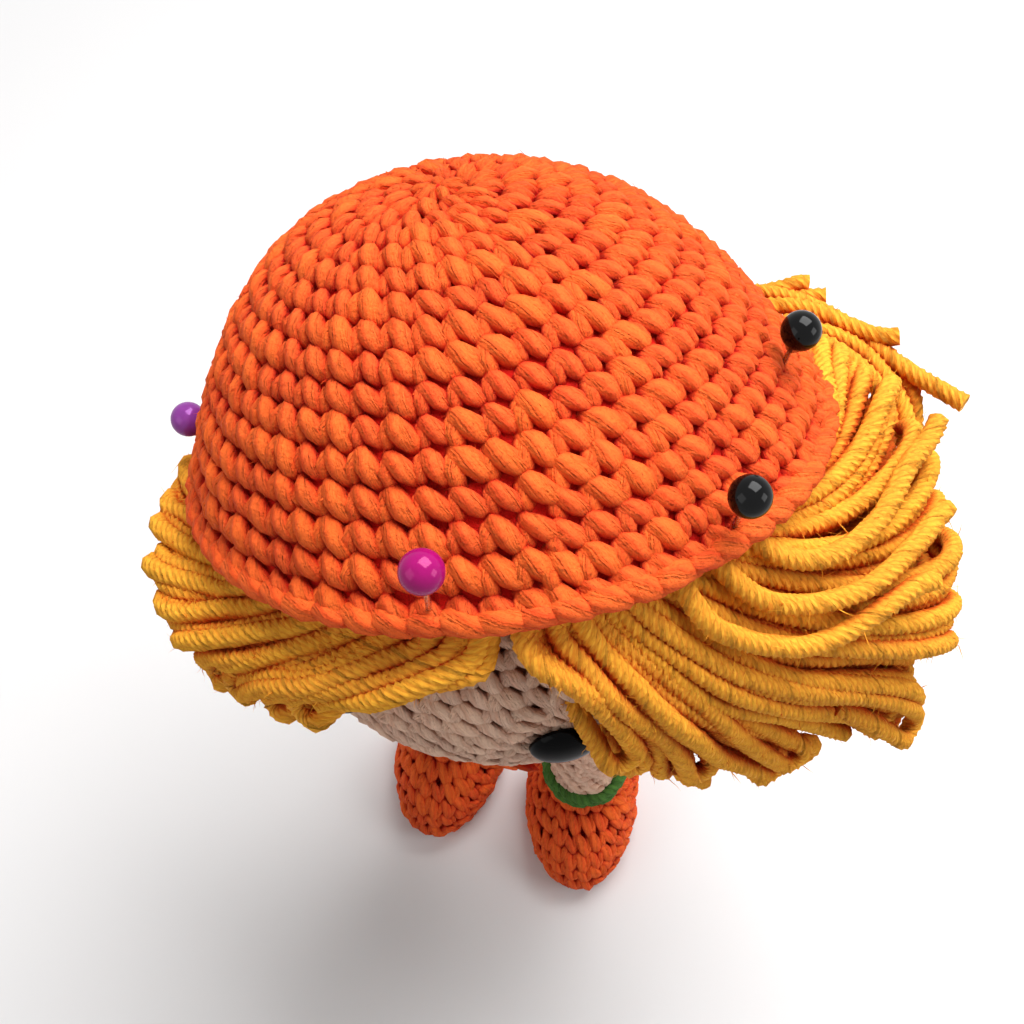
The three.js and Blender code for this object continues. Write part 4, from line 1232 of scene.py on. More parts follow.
def hair_line(rim):
    """The four places that bend the hair's outer line over places of the rim, and its direction."""
    a = np.radians(rim)
    reach = hat_radius(0) - HAT_WALL / 2
    start = from_hat(np.stack([reach * np.cos(a), reach * np.sin(a), 0 * a], axis=-1)) - HEAD
    side = np.arctan2(start[..., 0], -start[..., 1])
    row = np.clip(np.searchsorted(HAIR_SHARES[:, 0], np.degrees(side)), 1, len(HAIR_SHARES) - 1)
    before, after = HAIR_SHARES[row - 1], HAIR_SHARES[row]
    share = (np.degrees(side) - before[..., 0]) / (after[..., 0] - before[..., 0])
    eased = (share * share * (3 - 2 * share))[..., None]
    shares = (before + (after - before) * eased)[..., 1:5]
    swell, height, end, low = np.moveaxis(shares * HEAD_RADIUS, -1, 0)
    radius, rise = np.hypot(start[..., 0], start[..., 1]), start[..., 2]
    bends = ((radius, rise), (radius + CLEARANCE, rise - HAT_WALL), (swell, height), (end, low))
    return np.stack([np.stack(bend, axis=-1) for bend in bends], axis=-2), side


def hair_face(rim, down):
    """Places on the hair's outer face: a place of the rim in degrees and the share of the way down."""
    line, side = hair_line(rim)
    first, last = 2 * line[..., :1, :] - line[..., 1:2, :], 2 * line[..., -1:, :] - line[..., -2:-1, :]
    full = np.concatenate([first, line, last], axis=-2)
    t = np.clip(down, 0, 1) * 3
    i = np.minimum(t.astype(int), 2)
    u = (t - i)[..., None]
    past = (np.maximum(down - 1, 0) * 3)[..., None]
    near = (np.take_along_axis(full, (i + k)[..., None, None], axis=-2)[..., 0, :] for k in range(4))
    flat = catmull_rom(*near, u) + past * (full[..., 4, :] - full[..., 3, :])
    place = np.stack([flat[..., 0] * np.sin(side), -flat[..., 0] * np.cos(side), flat[..., 1]], axis=-1)
    return place + HEAD


def hair_places(rim, down, depth):
    """Places at depths in millimetres under the hair's outer face."""
    turn, drop = 0.4, 0.02
    place = hair_face(rim, down)
    along = hair_face(rim + turn, down) - hair_face(rim - turn, down)
    fall = hair_face(rim, down + drop) - hair_face(rim, np.maximum(down - drop, 0))
    out = unit(np.cross(fall, along))
    return place - out * depth[..., None]


def hair_thickness(rim):
    _, side = hair_line(rim)
    return np.interp(np.degrees(side), HAIR_SHARES[:, 0], HAIR_SHARES[:, 5]) * HEAD_RADIUS


def inside_hat(rim, height, depth):
    """A place inside the hat, at a height over its rim and a depth under its wall."""
    a = math.radians(rim)
    reach = hat_radius(height / HAT_DEPTH) - HAT_WALL - depth
    return from_hat(np.array([reach * math.cos(a), reach * math.sin(a), height]))


def combed_path(q, count=40):
    """One combed strand: places of the rim and shares of the way down, from the rim to the end."""
    i = min(int(q), len(COMBED) - 2)
    path = COMBED[i] * (1 - (q - i)) + COMBED[i + 1] * (q - i)
    return path[0, 0], smooth_line(path[1:], count)


def combed_spread():
    """How far the strands' middles lie from each other all round, for even spacing."""
    q = np.linspace(0, len(COMBED) - 1, TRIAL_STRANDS)
    paths = np.array([combed_path(v, TRIAL_PLACES)[1] for v in q])
    places = hair_face(paths[..., 0], paths[..., 1])
    widths = []
    for station in TRIAL_STATIONS:
        ahead = unit(places[1:, station + 2] - places[1:, station - 2])
        step = np.diff(places[:, station], axis=0)
        step -= (step * ahead).sum(1, keepdims=True) * ahead
        widths.append(np.linalg.norm(step, axis=1))
    return q, np.concatenate([[0], np.cumsum(np.mean(widths, axis=0))])


def stand_off(rim, down):
    """How far the bunch's loose upper side stands off the form of its locks."""
    near = np.exp(-(((rim - SWELL_MIDDLE) / SWELL_REACH) ** 2))
    return HAIR_SWELL * near * np.sin(math.pi * np.clip(down, 0, SWELL_END))


def hair_strands():
    """The strands of every lock: their paths in millimetres, from the outer layer inwards."""
    chance = np.random.default_rng(sizes().seed)
    q, spread = combed_spread()
    strands = {name: [] for name in LOCKS}
    for share, spacing in LAYERS:
        count = int(spread[-1] / spacing)
        for k in range(count):
            middle = k + 0.5 + chance.uniform(-HAIR_SCATTER, HAIR_SCATTER)
            mine = np.interp(middle / count * spread[-1], spread, q)
            root, path = combed_path(mine)
            t = np.linspace(0, 1, len(path))
            waves = sum(
                chance.normal() * np.sin(math.pi * n * t + chance.uniform(0, TURN)) / n for n in (1, 2, 3)
            )
            rim = path[:, 0] + HAIR_WAVE * waves * np.clip(t * 3, 0, 1)
            down = path[:, 1] * (1 + chance.uniform(*HAIR_ENDS) * t)
            # neighbours lie at different depths, so that one strand rises over the next
            roll = np.sin(TURN * (t * chance.uniform(*HAIR_ROLLS) + chance.uniform()))
            sink = HAIR_RELIEF * (k * GOLDEN % 1) + HAIR_ROLL * roll
            thickness = hair_thickness(rim)
            depth = HAIR_SHALLOW + share * np.maximum(thickness - 2 * HAIR_SHALLOW, 0) + sink
            depth = np.minimum(depth, thickness) - stand_off(rim, down) * (1 - SWELL_INNER * share)
            places = hair_places(rim, down, depth)
            inset = chance.uniform(*HAIR_INSET)
            roots = [inside_hat(root, height, inset) for height in (HAIR_TUCK, HAIR_TUCK / 2, HAIR_EXIT)]
            places = smooth_line(np.concatenate([roots, rounded(places)[2::4]]), PATH_PLACES)
            if chance.uniform() < LOOP_SHARE:
                places = looped(places, chance)
            name = next((n for n, (low, high) in LOCKS.items() if low <= root < high), "hair_front_right")
            # painted shade: a strand takes more of the painted shade colour the deeper it lies
            deep = (depth.mean() - HAIR_PAINTED_SHADE[0]) / (HAIR_PAINTED_SHADE[1] - HAIR_PAINTED_SHADE[0])
            strands[name].append((places, min(max(deep, 0), 1)))
    for guide in CROSSING:
        rim, down = smooth_line(guide, PATH_PLACES).T
        depth = np.interp(down, *CROSSING_DEPTHS) - stand_off(rim, down)
        strands["hair_bunch_left"].append((rounded(hair_places(rim, down, depth)), 0))
    strands["hair_back_left"] += [(smooth_line(stray, PATH_PLACES) + HEAD, 0) for stray in STRAYS]
    return strands


def rounded(places):
    """A path with its bends eased, as stiff yarn bends."""
    for _ in range(EASING):
        places = np.concatenate([places[:1], (places[:-2] + 2 * places[1:-1] + places[2:]) / 4, places[-1:]])
    return places


def looped(places, chance):
    """A strand whose end turns back beside itself, as a folded length of yarn does."""
    ahead = unit(places[-1] - places[-4])
    out = unit(places[-1] - HEAD)
    side = unit(np.cross(ahead, out)) * chance.choice([-1, 1])
    width = chance.uniform(*LOOP_REACH)
    turn = [
        places[-1] + ahead * width * math.sin(a) + side * width * (1 - math.cos(a)) for a in LOOP_BEND
    ]
    back = [places[-k] + side * width * 2 - out * LOOP_SINK * k for k in LOOP_BACK]
    return np.concatenate([places, smooth_line(turn + back, LOOP_PLACES)])


def strand_tree():
    """Geometry nodes that spin a plied strand along every path."""
    if "Spun strands" in bpy.data.node_groups:
        return bpy.data.node_groups["Spun strands"]
    tree, given = empty_tree("Spun strands", "Paths", (
        ("Width", "Float"), ("Lay", "Float"), ("Step", "Float"), ("Ply depth", "Float"), ("Plies", "Int"),
        ("Sides", "Int"),
    ))
    curves = add_node(tree, "GeometryNodeMeshToCurve", {"Mesh": given["Paths"]})
    even = add_node(
        tree, "GeometryNodeResampleCurve", {"Curve": curves, "Length": given["Step"]}, mode="LENGTH"
    )
    length = add_node(tree, "GeometryNodeSplineParameter").outputs["Length"]
    turns = add_node(tree, "ShaderNodeMath", {0: length, 1: given["Lay"]}, operation="DIVIDE")
    twist = add_node(tree, "ShaderNodeMath", {0: turns, 1: TURN}, operation="MULTIPLY")
    twisted = add_node(tree, "GeometryNodeSetCurveTilt", {"Curve": even, "Tilt": twist})
    marked = add_node(
        tree, "GeometryNodeStoreNamedAttribute", {"Geometry": twisted, "Name": "along", "Value": length},
        data_type="FLOAT", domain="POINT",
    )
    half = add_node(tree, "ShaderNodeMath", {0: given["Width"], 1: 0.5}, operation="MULTIPLY")
    circle = add_node(
        tree, "GeometryNodeCurvePrimitiveCircle", {"Resolution": given["Sides"], "Radius": half}
    )
    factor = add_node(tree, "GeometryNodeSplineParameter").outputs["Factor"]
    phase = add_node(tree, "ShaderNodeMath", {0: factor, 1: TURN}, operation="MULTIPLY")
    phases = add_node(tree, "ShaderNodeMath", {0: phase, 1: given["Plies"]}, operation="MULTIPLY")
    wave = add_node(tree, "ShaderNodeMath", {0: phases}, operation="COSINE")
    swell = add_node(
        tree, "ShaderNodeMath", {0: wave, 1: given["Ply depth"], 2: 1.0}, operation="MULTIPLY_ADD"
    )
    spot = add_node(tree, "GeometryNodeInputPosition")
    grown = add_node(tree, "ShaderNodeVectorMath", {0: spot, "Scale": swell}, operation="SCALE")
    lobed = add_node(tree, "GeometryNodeSetPosition", {"Geometry": circle, "Position": grown})
    profile = add_node(
        tree, "GeometryNodeStoreNamedAttribute", {"Geometry": lobed, "Name": "around", "Value": factor},
        data_type="FLOAT", domain="POINT",
    )
    spun = add_node(
        tree, "GeometryNodeCurveToMesh", {"Curve": marked, "Profile Curve": profile, "Fill Caps": True}
    )
    smooth = add_node(tree, "GeometryNodeSetShadeSmooth", {"Geometry": spun})
    uneven = jittered(tree, smooth.outputs[0], STRAND_UNEVENNESS * MM, STRAND_WAVES)
    fuzz = loose_fibres(tree, uneven, given)
    return finish_tree(tree, (fuzz, uneven), given["Yarn"])


def spin(name, strands, chance):
    """Spins one strand of yarn along each path, with its own tone and painted shade where it lies deep."""
    paths = [path for path, _ in strands]
    places = np.concatenate(paths)
    edges, start = [], 0
    for path in paths:
        edges += [(i, i + 1) for i in range(start, start + len(path) - 1)]
        start += len(path)
    holder = new_object(name + "_paths", places, edges=edges, smooth=False)
    counts = [len(path) for path in paths]
    set_attribute(holder, "tone", np.repeat(chance.uniform(0, 1, len(paths)), counts))
    set_attribute(holder, "deep", np.repeat([deep for _, deep in strands], counts))
    values = {
        "Width": sizes().strand_width, "Lay": HAIR_LAY * MM, "Step": HAIR_STEP * MM,
        "Ply depth": PLY_DEPTH, "Plies": HAIR_PLIES, "Sides": 2 * HAIR_PLIES,
        "Yarn": hair_yarn(), "Seed": sizes().seed, **fuzz_values(HAIR_FUZZ),
    }
    return run_tree(holder, strand_tree(), values, name)


class DOLL_OT_hair(bpy.types.Operator):
    """Combs the strands of the seven locks from the parting round the head"""

    bl_idname = "doll.hair"
    bl_label = "Hair"

    def execute(self, context):
        chance = np.random.default_rng(sizes().seed + 50)
        for name, strands in hair_strands().items():
            piece = spin(f"{name}_strands", strands, chance)
            settle(piece, "head", [name])
        return {"FINISHED"}


# Head

# The head's stitches run on this far above the hat's rim. They are smaller and flatter than the
# hat's, because its stuffing stretches them.
HEAD_TUCK = 7
HEAD_STITCHES = {"scale": 0.92, "relief": 0.65, "sunk": 1.0}


def eye_way(sign):
    """The direction from the head's centre to an eye."""
    across = math.cos(EYE_DIP)
    return np.array([
        sign * across * math.sin(EYE_AZIMUTH), -across * math.cos(EYE_AZIMUTH), -math.sin(EYE_DIP)
    ])


def head_surface(t, angle):
    """The head's ball, drawn in a little round each eye."""
    tilt = t * math.pi
    x = HEAD_RADIUS * np.sin(tilt) * np.cos(angle)
    y = HEAD_RADIUS * np.sin(tilt) * np.sin(angle)
    place = np.stack([x, y, HEAD_HALF_HEIGHT * np.cos(tilt)], axis=-1)
    drawn = 1
    for sign in SIDES.values():
        away = np.linalg.norm(place - eye_way(sign) * HEAD_RADIUS, axis=-1)
        drawn = drawn - EYE_SUNK / HEAD_RADIUS * np.exp(-((away / EYE_DIMPLE) ** 4))
    return place * np.asarray(drawn)[..., None] + HEAD


def below_hat(places):
    return hat_height(places) < HEAD_TUCK


class DOLL_OT_head(bpy.types.Operator):
    """Crochets the round head, with its stuffing under it"""

    bl_idname = "doll.head"
    bl_label = "Head"

    def execute(self, context):
        skin = closed_skin(head_surface, TIGHT_BACKING_DEPTH, rows=40, sides=64)
        backing = backing_object("head_backing", *skin, deep=SKIN_BACKING_PAINTED_SHADE)
        placed = stitch_places(head_surface, keep=below_hat, **HEAD_STITCHES)
        piece = work("head_crochet", single_crochet(), placed, backing, skin_yarn(), seed=2)
        settle(piece, "head", ["head_cover", "head_stuffing"])
        return {"FINISHED"}


class DOLL_OT_eyes(bpy.types.Operator):
    """Sets the two glossy safety eyes"""

    bl_idname = "doll.eyes"
    bl_label = "Eyes"

    def execute(self, context):
        gloss = gloss_material("worn_black_plastic", linear(BLACK), shine=0.1, bend=1.2)
        profile = [(0, -EYE_SHANK_LENGTH), (EYE_SHANK, -EYE_SHANK_LENGTH), (EYE_SHANK, -EYE_BACK)]
        profile += [(EYE_RADIUS - EYE_ROUNDING, -EYE_BACK), (EYE_RADIUS, -EYE_RING)]
        profile += arc((EYE_RADIUS, EYE_DOME), 0, math.pi / 2, EYE_ROWS)
        for side, sign in SIDES.items():
            way = eye_way(sign)
            place = HEAD + way * (HEAD_RADIUS + EYE_STAND - EYE_SUNK)
            piece = turned_form(f"safety_eye_{side}", profile, TURNED_SIDES, place, way, gloss)
            settle(piece, "head", [f"eye_{side}"])
        return {"FINISHED"}


class DOLL_OT_pins(bpy.types.Operator):
    """Makes the four ball-head pins that hold the hat"""

    bl_idname = "doll.pins"
    bl_label = "Pins"

    def execute(self, context):
        pearl = {"roughness": 0.08, "pearl": 0.1}
        looks = {
            "magenta_pearl": gloss_material("pearl_lacquer_magenta", colours().magenta, **pearl),
            "black_gloss": gloss_material("moulded_black_plastic", linear(BLACK)),
            "purple_pearl": gloss_material("pearl_lacquer_purple", colours().purple, **pearl),
        }
        ways = {joint["child"]: joint["axis"] for joint in frame["joints"] if joint["type"] == "slide"}
        # the ball runs out into its collar along a soft flare
        profile = [
            (0, -PIN_NECK_LENGTH), (PIN_NECK - PIN_BEVEL, -PIN_NECK_LENGTH),
            (PIN_NECK, -PIN_NECK_LENGTH + PIN_BEVEL),
        ]
        flare = math.asin(PIN_NECK / PIN_BALL) + PIN_FLARE
        profile += arc((PIN_BALL, PIN_BALL), flare - math.pi / 2, math.pi / 2, BALL_ROWS, first=0)
        wide, high = PIN_SHOULDER
        shaft = [
            (0, -PIN_LENGTH), (PIN_SHAFT * wide, -PIN_LENGTH + PIN_TIP * high),
            (PIN_SHAFT, -PIN_LENGTH + PIN_TIP), (PIN_SHAFT, -PIN_NECK_LENGTH), (0, -PIN_NECK_LENGTH),
        ]
        for name, slot in PINS.items():
            body = f"pin_{name}"
            way = np.array(ways[body])
            # the shaft's point is its corner that lies furthest against its way
            corners = np.array([v.co for v in frame["nodes"][f"pin_shaft_{name}"].data.vertices]) / MM
            place = corners[np.argmin(corners @ way)] + way * PIN_LENGTH
            ball = turned_form(
                f"pin_ball_{name}", profile, TURNED_SIDES, place, way, looks[slot], math.radians(60)
            )
            settle(ball, body, [f"pin_head_{name}"])
            wire = turned_form(f"pin_wire_{name}", shaft, WIRE_SIDES, place, way, steel_material())
            settle(wire, body, [f"pin_shaft_{name}"])
        return {"FINISHED"}


# Body and limbs

BODY_AXIS = HEAD + (0, BODY_SET_BACK, 0)
TONGUE_HALF_WIDTH = HIP_SPACING - LEG_RADIUS - CLEARANCE
SHELF_HEIGHT = HIP_HEIGHT + LEG_RADIUS + CLEARANCE
body_heights = BODY_LOW + BODY_SHARES[:, 0] * (BODY_HIGH - BODY_LOW)
body_points = np.stack([BODY_SHARES[:, 1] * BODY_RADIUS, body_heights], axis=1)
body_line = smooth_line(body_points[::-1], count=300)
body_lengths = shares_along(body_line)


def body_surface(t, angle):
    """The pear of the body, narrowed below the legs' shelf so that they can swing."""
    radius = np.interp(t, body_lengths, body_line[:, 0])
    height = np.interp(t, body_lengths, body_line[:, 1])
    x, y = radius * np.cos(angle), radius * np.sin(angle)
    fall = np.clip((height - SHELF_HEIGHT) / SHELF_ROUNDING, 0, 1)
    allowed = TONGUE_HALF_WIDTH + (BODY_RADIUS - TONGUE_HALF_WIDTH) * fall * fall * (3 - 2 * fall)
    x = np.clip(x, -allowed, allowed)
    return np.stack([x + BODY_AXIS[0], y + BODY_AXIS[1], height], axis=-1)


def neck_surface(t, angle):
    """The short neck, waisted at its middle."""
    radius = NECK_RADIUS + NECK_FLARE * np.abs(2 * t - 1) ** 2
    height = NECK_TOP - NECK_HEIGHT * t
    x, y = radius * np.cos(angle), radius * np.sin(angle)
    return np.stack([x + BODY_AXIS[0], y + BODY_AXIS[1], height], axis=-1)


class DOLL_OT_body(bpy.types.Operator):
    """Crochets the body and the neck"""

    bl_idname = "doll.body"
    bl_label = "Body"

    def execute(self, context):
        skin = closed_skin(body_surface, BACKING_DEPTH, rows=48, sides=48)
        backing = backing_object("body_backing", *skin)
        placed = stitch_places(body_surface)
        piece = work("body_crochet", single_crochet(), placed, backing, hat_yarn(), seed=3)
        settle(piece, "torso", ["body_cover", "body_stuffing"])

        skin = closed_skin(neck_surface, BACKING_DEPTH, rows=8, sides=32)
        backing = backing_object("neck_backing", *skin, deep=SKIN_BACKING_PAINTED_SHADE)
        placed = stitch_places(neck_surface)
        neck = work("neck_crochet", single_crochet(), placed, backing, skin_yarn(), seed=4)
        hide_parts("neck_stuffing")
        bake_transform(neck)
        return {"FINISHED"}


def limb_line(radius, length, shares, round_end):
    """A limb's outline from its far end up to the top of its shoulder ball."""
    down = smooth_line(np.stack([shares[:, 1] * radius, -length * shares[:, 0]], axis=1), count=60)
    last = down[-1]
    angles = np.linspace(0, math.pi / 2, 24)
    end = np.stack([last[0] * np.sin(angles), last[1] - last[0] * np.cos(angles)], axis=1)
    top = np.stack([radius * np.cos(angles), radius * np.sin(angles)], axis=1)
    line = np.concatenate([end if round_end else [[0, last[1]]], down[::-1], top[1:]])
    return line, shares_along(line)


def limb_surface(line, lengths, pivot, turn, flat=None):
    """The surface of a limb on its pivot, with a side's limit that flattens it against the body."""

    def surface(t, angle):
        radius = np.interp(t, lengths, line[:, 0])
        height = np.interp(t, lengths, line[:, 1])
        local = np.stack([radius * np.cos(angle), radius * np.sin(angle), height], axis=-1)
        place = local @ turn.T + pivot
        if flat is not None:
            sign, limit = flat
            place[..., 0] = BODY_AXIS[0] + sign * np.maximum(sign * (place[..., 0] - BODY_AXIS[0]), limit)
        return place

    return surface


def shoulder_spacing():
    """How far a shoulder lies from the middle of the body, just clear of its side."""
    order = np.argsort(body_line[:, 1])
    side = np.interp(SHOULDER_HEIGHT, body_line[order, 1], body_line[order, 0])
    return side + SHOULDER_PLAY + ARM_RADIUS - SHOULDER_FLAT


class DOLL_OT_arms(bpy.types.Operator):
    """Crochets the two arms"""

    bl_idname = "doll.arms"
    bl_label = "Arms"

    def execute(self, context):
        spacing = shoulder_spacing()
        splay = math.asin((HAND_SPACING - spacing) / ARM_LENGTH)
        line, lengths = limb_line(ARM_RADIUS, ARM_LENGTH, ARM_SHARES, True)
        for side, sign in SIDES.items():
            pivot = np.array([BODY_AXIS[0] + sign * spacing, BODY_AXIS[1], SHOULDER_HEIGHT])
            flat = (sign, spacing - ARM_RADIUS + SHOULDER_FLAT)
            surface = limb_surface(line, lengths, pivot, rotation(-sign * splay, "Y"), flat)
            skin = closed_skin(surface, BACKING_DEPTH, rows=30, sides=24, facing=-1)
            backing = backing_object("arm_backing", *skin, deep=SKIN_BACKING_PAINTED_SHADE)
            placed = stitch_places(surface, facing=-1)
            name = f"arm_crochet_{side}"
            piece = work(name, single_crochet(), placed, backing, skin_yarn(), seed=10 + sign)
            nodes = [f"arm_cover_{side}", f"arm_stuffing_{side}"]
            settle(piece, f"arm_{side}", nodes)
        return {"FINISHED"}


def ankle(side):
    return np.array([HEAD[0] + SIDES[side] * ANKLE_SPACING, HEAD[1] + ANKLE_SET_BACK[side], ANKLE_HEIGHT])


def above_ankle(places):
    return places[:, 2] > ANKLE_HEIGHT + LEG_END


class DOLL_OT_legs(bpy.types.Operator):
    """Crochets the two legs"""

    bl_idname = "doll.legs"
    bl_label = "Legs"

    def execute(self, context):
        for side, sign in SIDES.items():
            pivot = np.array([BODY_AXIS[0] + sign * HIP_SPACING, BODY_AXIS[1], HIP_HEIGHT])
            down = pivot - ankle(side)
            turn = np.array(Vector((0, 0, 1)).rotation_difference(Vector(down)).to_matrix())
            line, lengths = limb_line(LEG_RADIUS, np.linalg.norm(down), LEG_SHARES, False)
            surface = limb_surface(line, lengths, pivot, turn)
            skin = closed_skin(surface, BACKING_DEPTH, rows=40, sides=32, facing=-1)
            backing = backing_object("leg_backing", *skin, deep=SKIN_BACKING_PAINTED_SHADE)
            placed = stitch_places(surface, facing=-1, keep=above_ankle)
            name = f"leg_crochet_{side}"
            piece = work(name, single_crochet(), placed, backing, skin_yarn(), seed=20 + sign)
            nodes = [f"leg_cover_{side}", f"leg_stuffing_{side}"]
            settle(piece, f"leg_{side}", nodes)
        return {"FINISHED"}


def shoe_surface(side):
    """The surface of a shoe, from its opening down the wall and in over the sole."""
    turn = rotation(SIDES[side] * TOE_OUT[side], "Z")

    def surface(t, angle):
        rise = SOLE_CORNER * np.logaddexp(0, (t - SOLE_SHARE) / SOLE_CORNER)
        share = np.clip(rise / (1 - SOLE_SHARE), 0, 1)
        width, toe, heel = (np.interp(share, SHOE_SHARES[:, 0], SHOE_SHARES[:, k]) for k in (1, 2, 3))
        grown = np.clip(1 - (rise - (t - SOLE_SHARE)) / SOLE_SHARE, 0, 1)
        reach = np.where(np.cos(angle) > 0, SHOE_TOE * toe, SHOE_HEEL * heel)
        x = SHOE_HALF_WIDTH * width * np.sin(angle) * grown
        y = -reach * np.cos(angle) * grown
        y += (1 - grown) * SOLE_MIDDLE
        place = np.stack([x, y, SHOE_TOP * share], axis=-1) @ turn.T
        return place + ankle(side) * (1, 1, 0)

    return surface


def press_flat(piece):
    """Presses what lies below the floor nearly flat, as the doll's weight does to its soles."""
    places = np.empty(3 * len(piece.data.vertices), np.float32)
    piece.data.vertices.foreach_get("co", places)
    height = places[2::3]
    places[2::3] = np.maximum(height, SOLE_SPRING * height)
    piece.data.vertices.foreach_set("co", places)
    piece.data.update()


def trim_surface(side):
    """The narrow ring round an ankle that the trim is worked on."""

    def surface(t, angle):
        radius = TRIM_RADIUS + TRIM_FLARE * t
        height = SHOE_TOP + TRIM_HEIGHT * (1 - t) + 0 * angle
        place = np.stack([radius * np.cos(angle), radius * np.sin(angle), height], axis=-1)
        return place + ankle(side) * (1, 1, 0)

    return surface


class DOLL_OT_shoes(bpy.types.Operator):
    """Crochets the shoes and the green trims round the ankles"""

    bl_idname = "doll.shoes"
    bl_label = "Shoes"

    def execute(self, context):
        for side, sign in SIDES.items():
            surface = shoe_surface(side)
            skin = closed_skin(surface, BACKING_DEPTH, rows=40, sides=36, facing=-1)
            backing = backing_object("shoe_backing", *skin)
            placed = stitch_places(surface, facing=-1, **SHOE_STITCHES)
            name = f"shoe_crochet_{side}"
            piece = work(name, single_crochet(), placed, backing, hat_yarn(), seed=30 + sign)
            press_flat(piece)
            settle(piece, f"leg_{side}", [f"shoe_{side}", f"foot_stuffing_{side}"])

            ring = trim_surface(side)
            rounds = [edge_places(ring, t, TRIM_STITCHES, TRIM_DEPTH, 0, t) for t in TRIM_ROUNDS]
            placed = [np.concatenate(pair) for pair in zip(*rounds)]
            trim = work(f"trim_crochet_{side}", chain_link(), placed, None, trim_yarn(), seed=40 + sign)
            settle(trim, f"leg_{side}", [f"ankle_trim_{side}"])
        return {"FINISHED"}


class DOLL_OT_hidden_pieces(bpy.types.Operator):
    """Gives the pieces inside the doll their materials"""

    bl_idname = "doll.hidden_pieces"
    bl_label = "Hidden pieces"

    def execute(self, context):
        card = plain_material("pressed_card", "#B9A27C", roughness=0.9, grain=0.4, bump=0.05)
        washer = plain_material("moulded_washer_plastic", "#E8E6E0", roughness=0.5, grain=0.8, bump=0.02)
        yarn = plain_material("joint_yarn", "#E9CFBC", roughness=0.95, grain=0.3, bump=0.1)
        looks = {"insole": card, "eye_washer": washer, "arm_joint": yarn, "leg_joint": yarn}
        for name, node in frame["nodes"].items():
            for start, material in looks.items():
                if name.startswith(start):
                    node.data.materials.clear()
                    node.data.materials.append(material)
        return {"FINISHED"}


# Stage

CAMERA_ELEVATION = math.radians(60.8)
CAMERA_AZIMUTH = math.radians(14)
CAMERA_FROM_HEAD = np.array([21.764, -85.890, 151.927])
# The focal length and the picture's width in pixels, and the sensor's width in millimetres
FOCUS_PIXELS = 1300
PICTURE_PIXELS = 1024
SENSOR = 36
# Half the board's side, its grain, and where it fades into the background
BOARD = 3000
BOARD_GRAIN = 2.5
BOARD_FADE = (200, 480)
# The square soft lamps: place, side and power in watts
LAMPS = {
    "key": ((85, 200, 605), 420, 5.4),
    "fill": ((-420, -380, 420), 420, 0.8),
    "side": ((520, -40, 360), 260, 0.9),
}
ROOM_LIGHT = 0.25


def seen_rays(tree):
    """One for rays that show the background to the camera, straight or in a reflection."""
    path = add_node(tree, "ShaderNodeLightPath")
    seen = path.outputs["Is Camera Ray"]
    for mirrored in ("Is Glossy Ray", "Is Transmission Ray"):
        rays = {0: seen, 1: path.outputs[mirrored]}
        seen = add_node(tree, "ShaderNodeMath", rays, operation="MAXIMUM").outputs[0]
    return seen


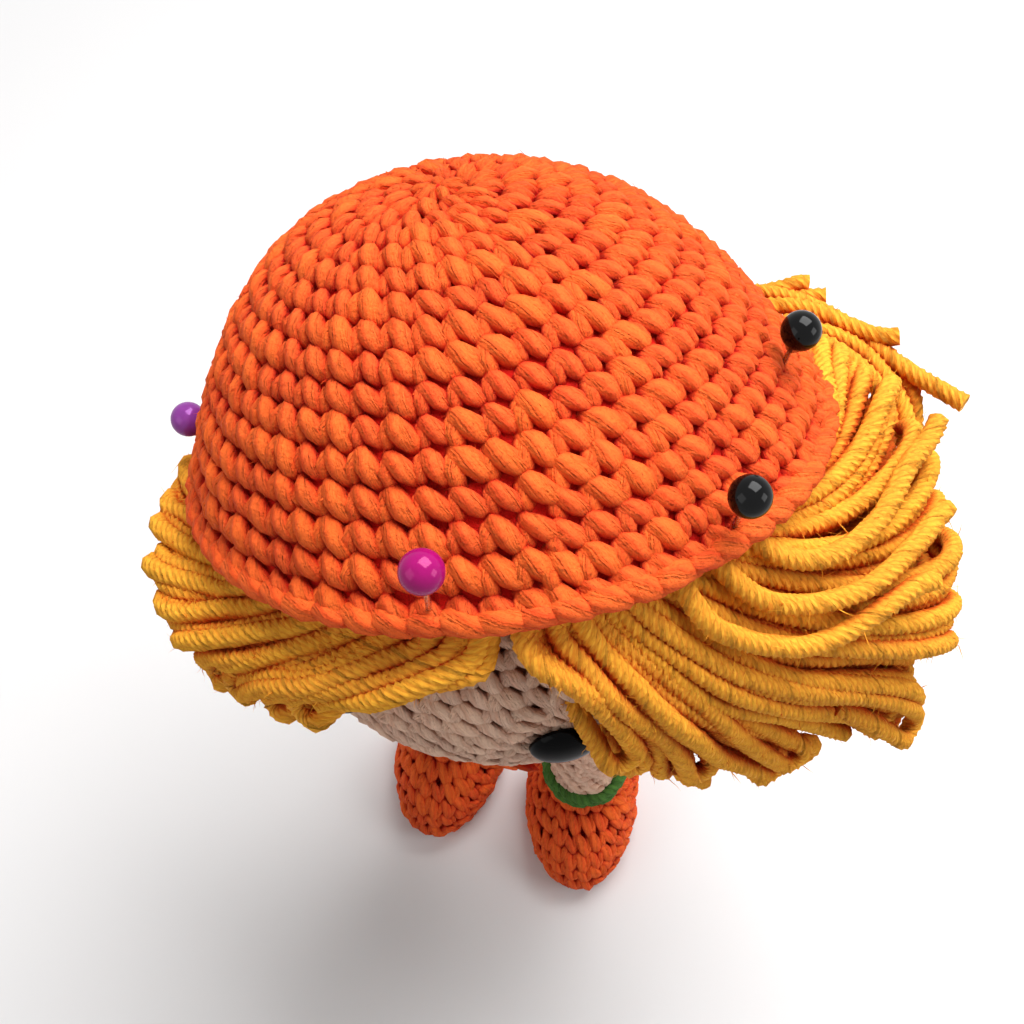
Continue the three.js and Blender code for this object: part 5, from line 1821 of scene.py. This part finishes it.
class DOLL_OT_stage(bpy.types.Operator):
    """Sets the pale floor, the soft light and the camera"""

    bl_idname = "doll.stage"
    bl_label = "Stage"

    def execute(self, context):
        scene = context.scene
        self.camera(scene)
        self.board()
        for name, lamp in LAMPS.items():
            self.lamp(name, *lamp)
        world = bpy.data.worlds.new("studio")
        scene.world = world
        world.use_nodes = True
        tree = world.node_tree
        tree.nodes.clear()
        soft, white = (
            add_node(tree, "ShaderNodeBackground", {"Color": (1, 1, 1, 1), "Strength": strength})
            for strength in (ROOM_LIGHT, 1.0)
        )
        mixed = add_node(tree, "ShaderNodeMixShader", {0: seen_rays(tree), 1: soft, 2: white})
        add_node(tree, "ShaderNodeOutputWorld", {"Surface": mixed})
        scene.view_settings.view_transform = "Standard"
        return {"FINISHED"}

    def camera(self, scene):
        """The photograph's view: from above and the doll's left, level, looking at the head."""
        a, e = CAMERA_AZIMUTH, CAMERA_ELEVATION
        back = Vector((math.sin(a) * math.cos(e), -math.cos(a) * math.cos(e), math.sin(e)))
        right = Vector((math.cos(a), math.sin(a), 0))
        up = back.cross(right)
        data = bpy.data.cameras.new("camera")
        data.lens = FOCUS_PIXELS * SENSOR / PICTURE_PIXELS
        data.sensor_width = SENSOR
        data.clip_start = 5 * MM
        camera = bpy.data.objects.new("camera", data)
        turn = Matrix((right, up, back)).transposed().to_4x4()
        camera.matrix_world = Matrix.Translation(Vector((HEAD + CAMERA_FROM_HEAD) * MM)) @ turn
        scene.collection.objects.link(camera)
        scene.camera = camera

    def board(self):
        """Matt white display board with a fine rolled grain. Away from the doll it runs out into
        the white background.
        """
        corners = [(x * BOARD, y * BOARD, 0) for x, y in ((-1, -1), (1, -1), (1, 1), (-1, 1))]
        floor = new_object("floor", corners, [(0, 1, 2, 3)])
        material, tree, shader = new_material("matt_white_board")
        place = add_node(tree, "ShaderNodeTexCoord").outputs["Object"]
        grain = add_node(
            tree, "ShaderNodeTexNoise", {"Vector": place, "Scale": 1 / (BOARD_GRAIN * MM), "Detail": 4.0}
        )
        bump = add_node(tree, "ShaderNodeBump", {"Height": grain, "Strength": 0.1, "Distance": 0.1 * MM})
        plug(shader, {"Base Color": (*linear("#E2E1E1"), 1), "Roughness": 0.9, "Normal": bump})
        away = add_node(tree, "ShaderNodeVectorMath", {0: place}, operation="LENGTH").outputs["Value"]
        near, far = BOARD_FADE
        fade = add_node(
            tree, "ShaderNodeMapRange", {0: away, 1: near * MM, 2: far * MM, 3: 0.0, 4: 1.0},
            interpolation_type="SMOOTHSTEP",
        )
        share = add_node(tree, "ShaderNodeMath", {0: fade, 1: seen_rays(tree)}, operation="MULTIPLY")
        white = add_node(tree, "ShaderNodeEmission", {"Color": (1, 1, 1, 1), "Strength": 1.0})
        mixed = add_node(tree, "ShaderNodeMixShader", {0: share, 1: shader, 2: white})
        plug(next(n for n in tree.nodes if n.type == "OUTPUT_MATERIAL"), {"Surface": mixed})
        floor.data.materials.append(material)

    def lamp(self, name, place, size, power):
        """A square soft lamp of size millimetres that looks at the head."""
        data = bpy.data.lights.new(name, "AREA")
        data.size = size * MM
        data.energy = power
        lamp = bpy.data.objects.new(name, data)
        at = Vector(HEAD * MM)
        where = Vector(place) * MM
        lamp.location = where
        lamp.rotation_euler = (at - where).to_track_quat("-Z", "Y").to_euler()
        bpy.context.scene.collection.objects.link(lamp)


class DOLL_PT_panel(bpy.types.Panel):
    """Lists the doll's pieces, sizes and colours"""

    bl_label = "Crocheted doll"
    bl_idname = "DOLL_PT_panel"
    bl_space_type = "VIEW_3D"
    bl_region_type = "UI"
    bl_category = "Doll"

    def draw(self, context):
        for group in (context.scene.doll_sizes, context.scene.doll_colours):
            column = self.layout.column()
            for name in group.bl_rna.properties.keys():
                if name not in ("rna_type", "name"):
                    column.prop(group, name)
        for operator in OPERATORS:
            self.layout.operator(operator.bl_idname)


OPERATORS = (
    DOLL_OT_stage, DOLL_OT_hat, DOLL_OT_hair, DOLL_OT_head, DOLL_OT_eyes, DOLL_OT_pins, DOLL_OT_body,
    DOLL_OT_arms, DOLL_OT_legs, DOLL_OT_shoes, DOLL_OT_hidden_pieces,
)
CLASSES = (DollSizes, DollColours, *OPERATORS, DOLL_PT_panel)


def register():
    for item in CLASSES:
        bpy.utils.register_class(item)
    bpy.types.Scene.doll_sizes = PointerProperty(type=DollSizes)
    bpy.types.Scene.doll_colours = PointerProperty(type=DollColours)


def unregister():
    del bpy.types.Scene.doll_colours
    del bpy.types.Scene.doll_sizes
    for item in reversed(CLASSES):
        bpy.utils.unregister_class(item)


def main():
    register()
    for operator in OPERATORS:
        group, name = operator.bl_idname.split(".")
        getattr(getattr(bpy.ops, group), name)()


if __name__ == "__main__":
    main()
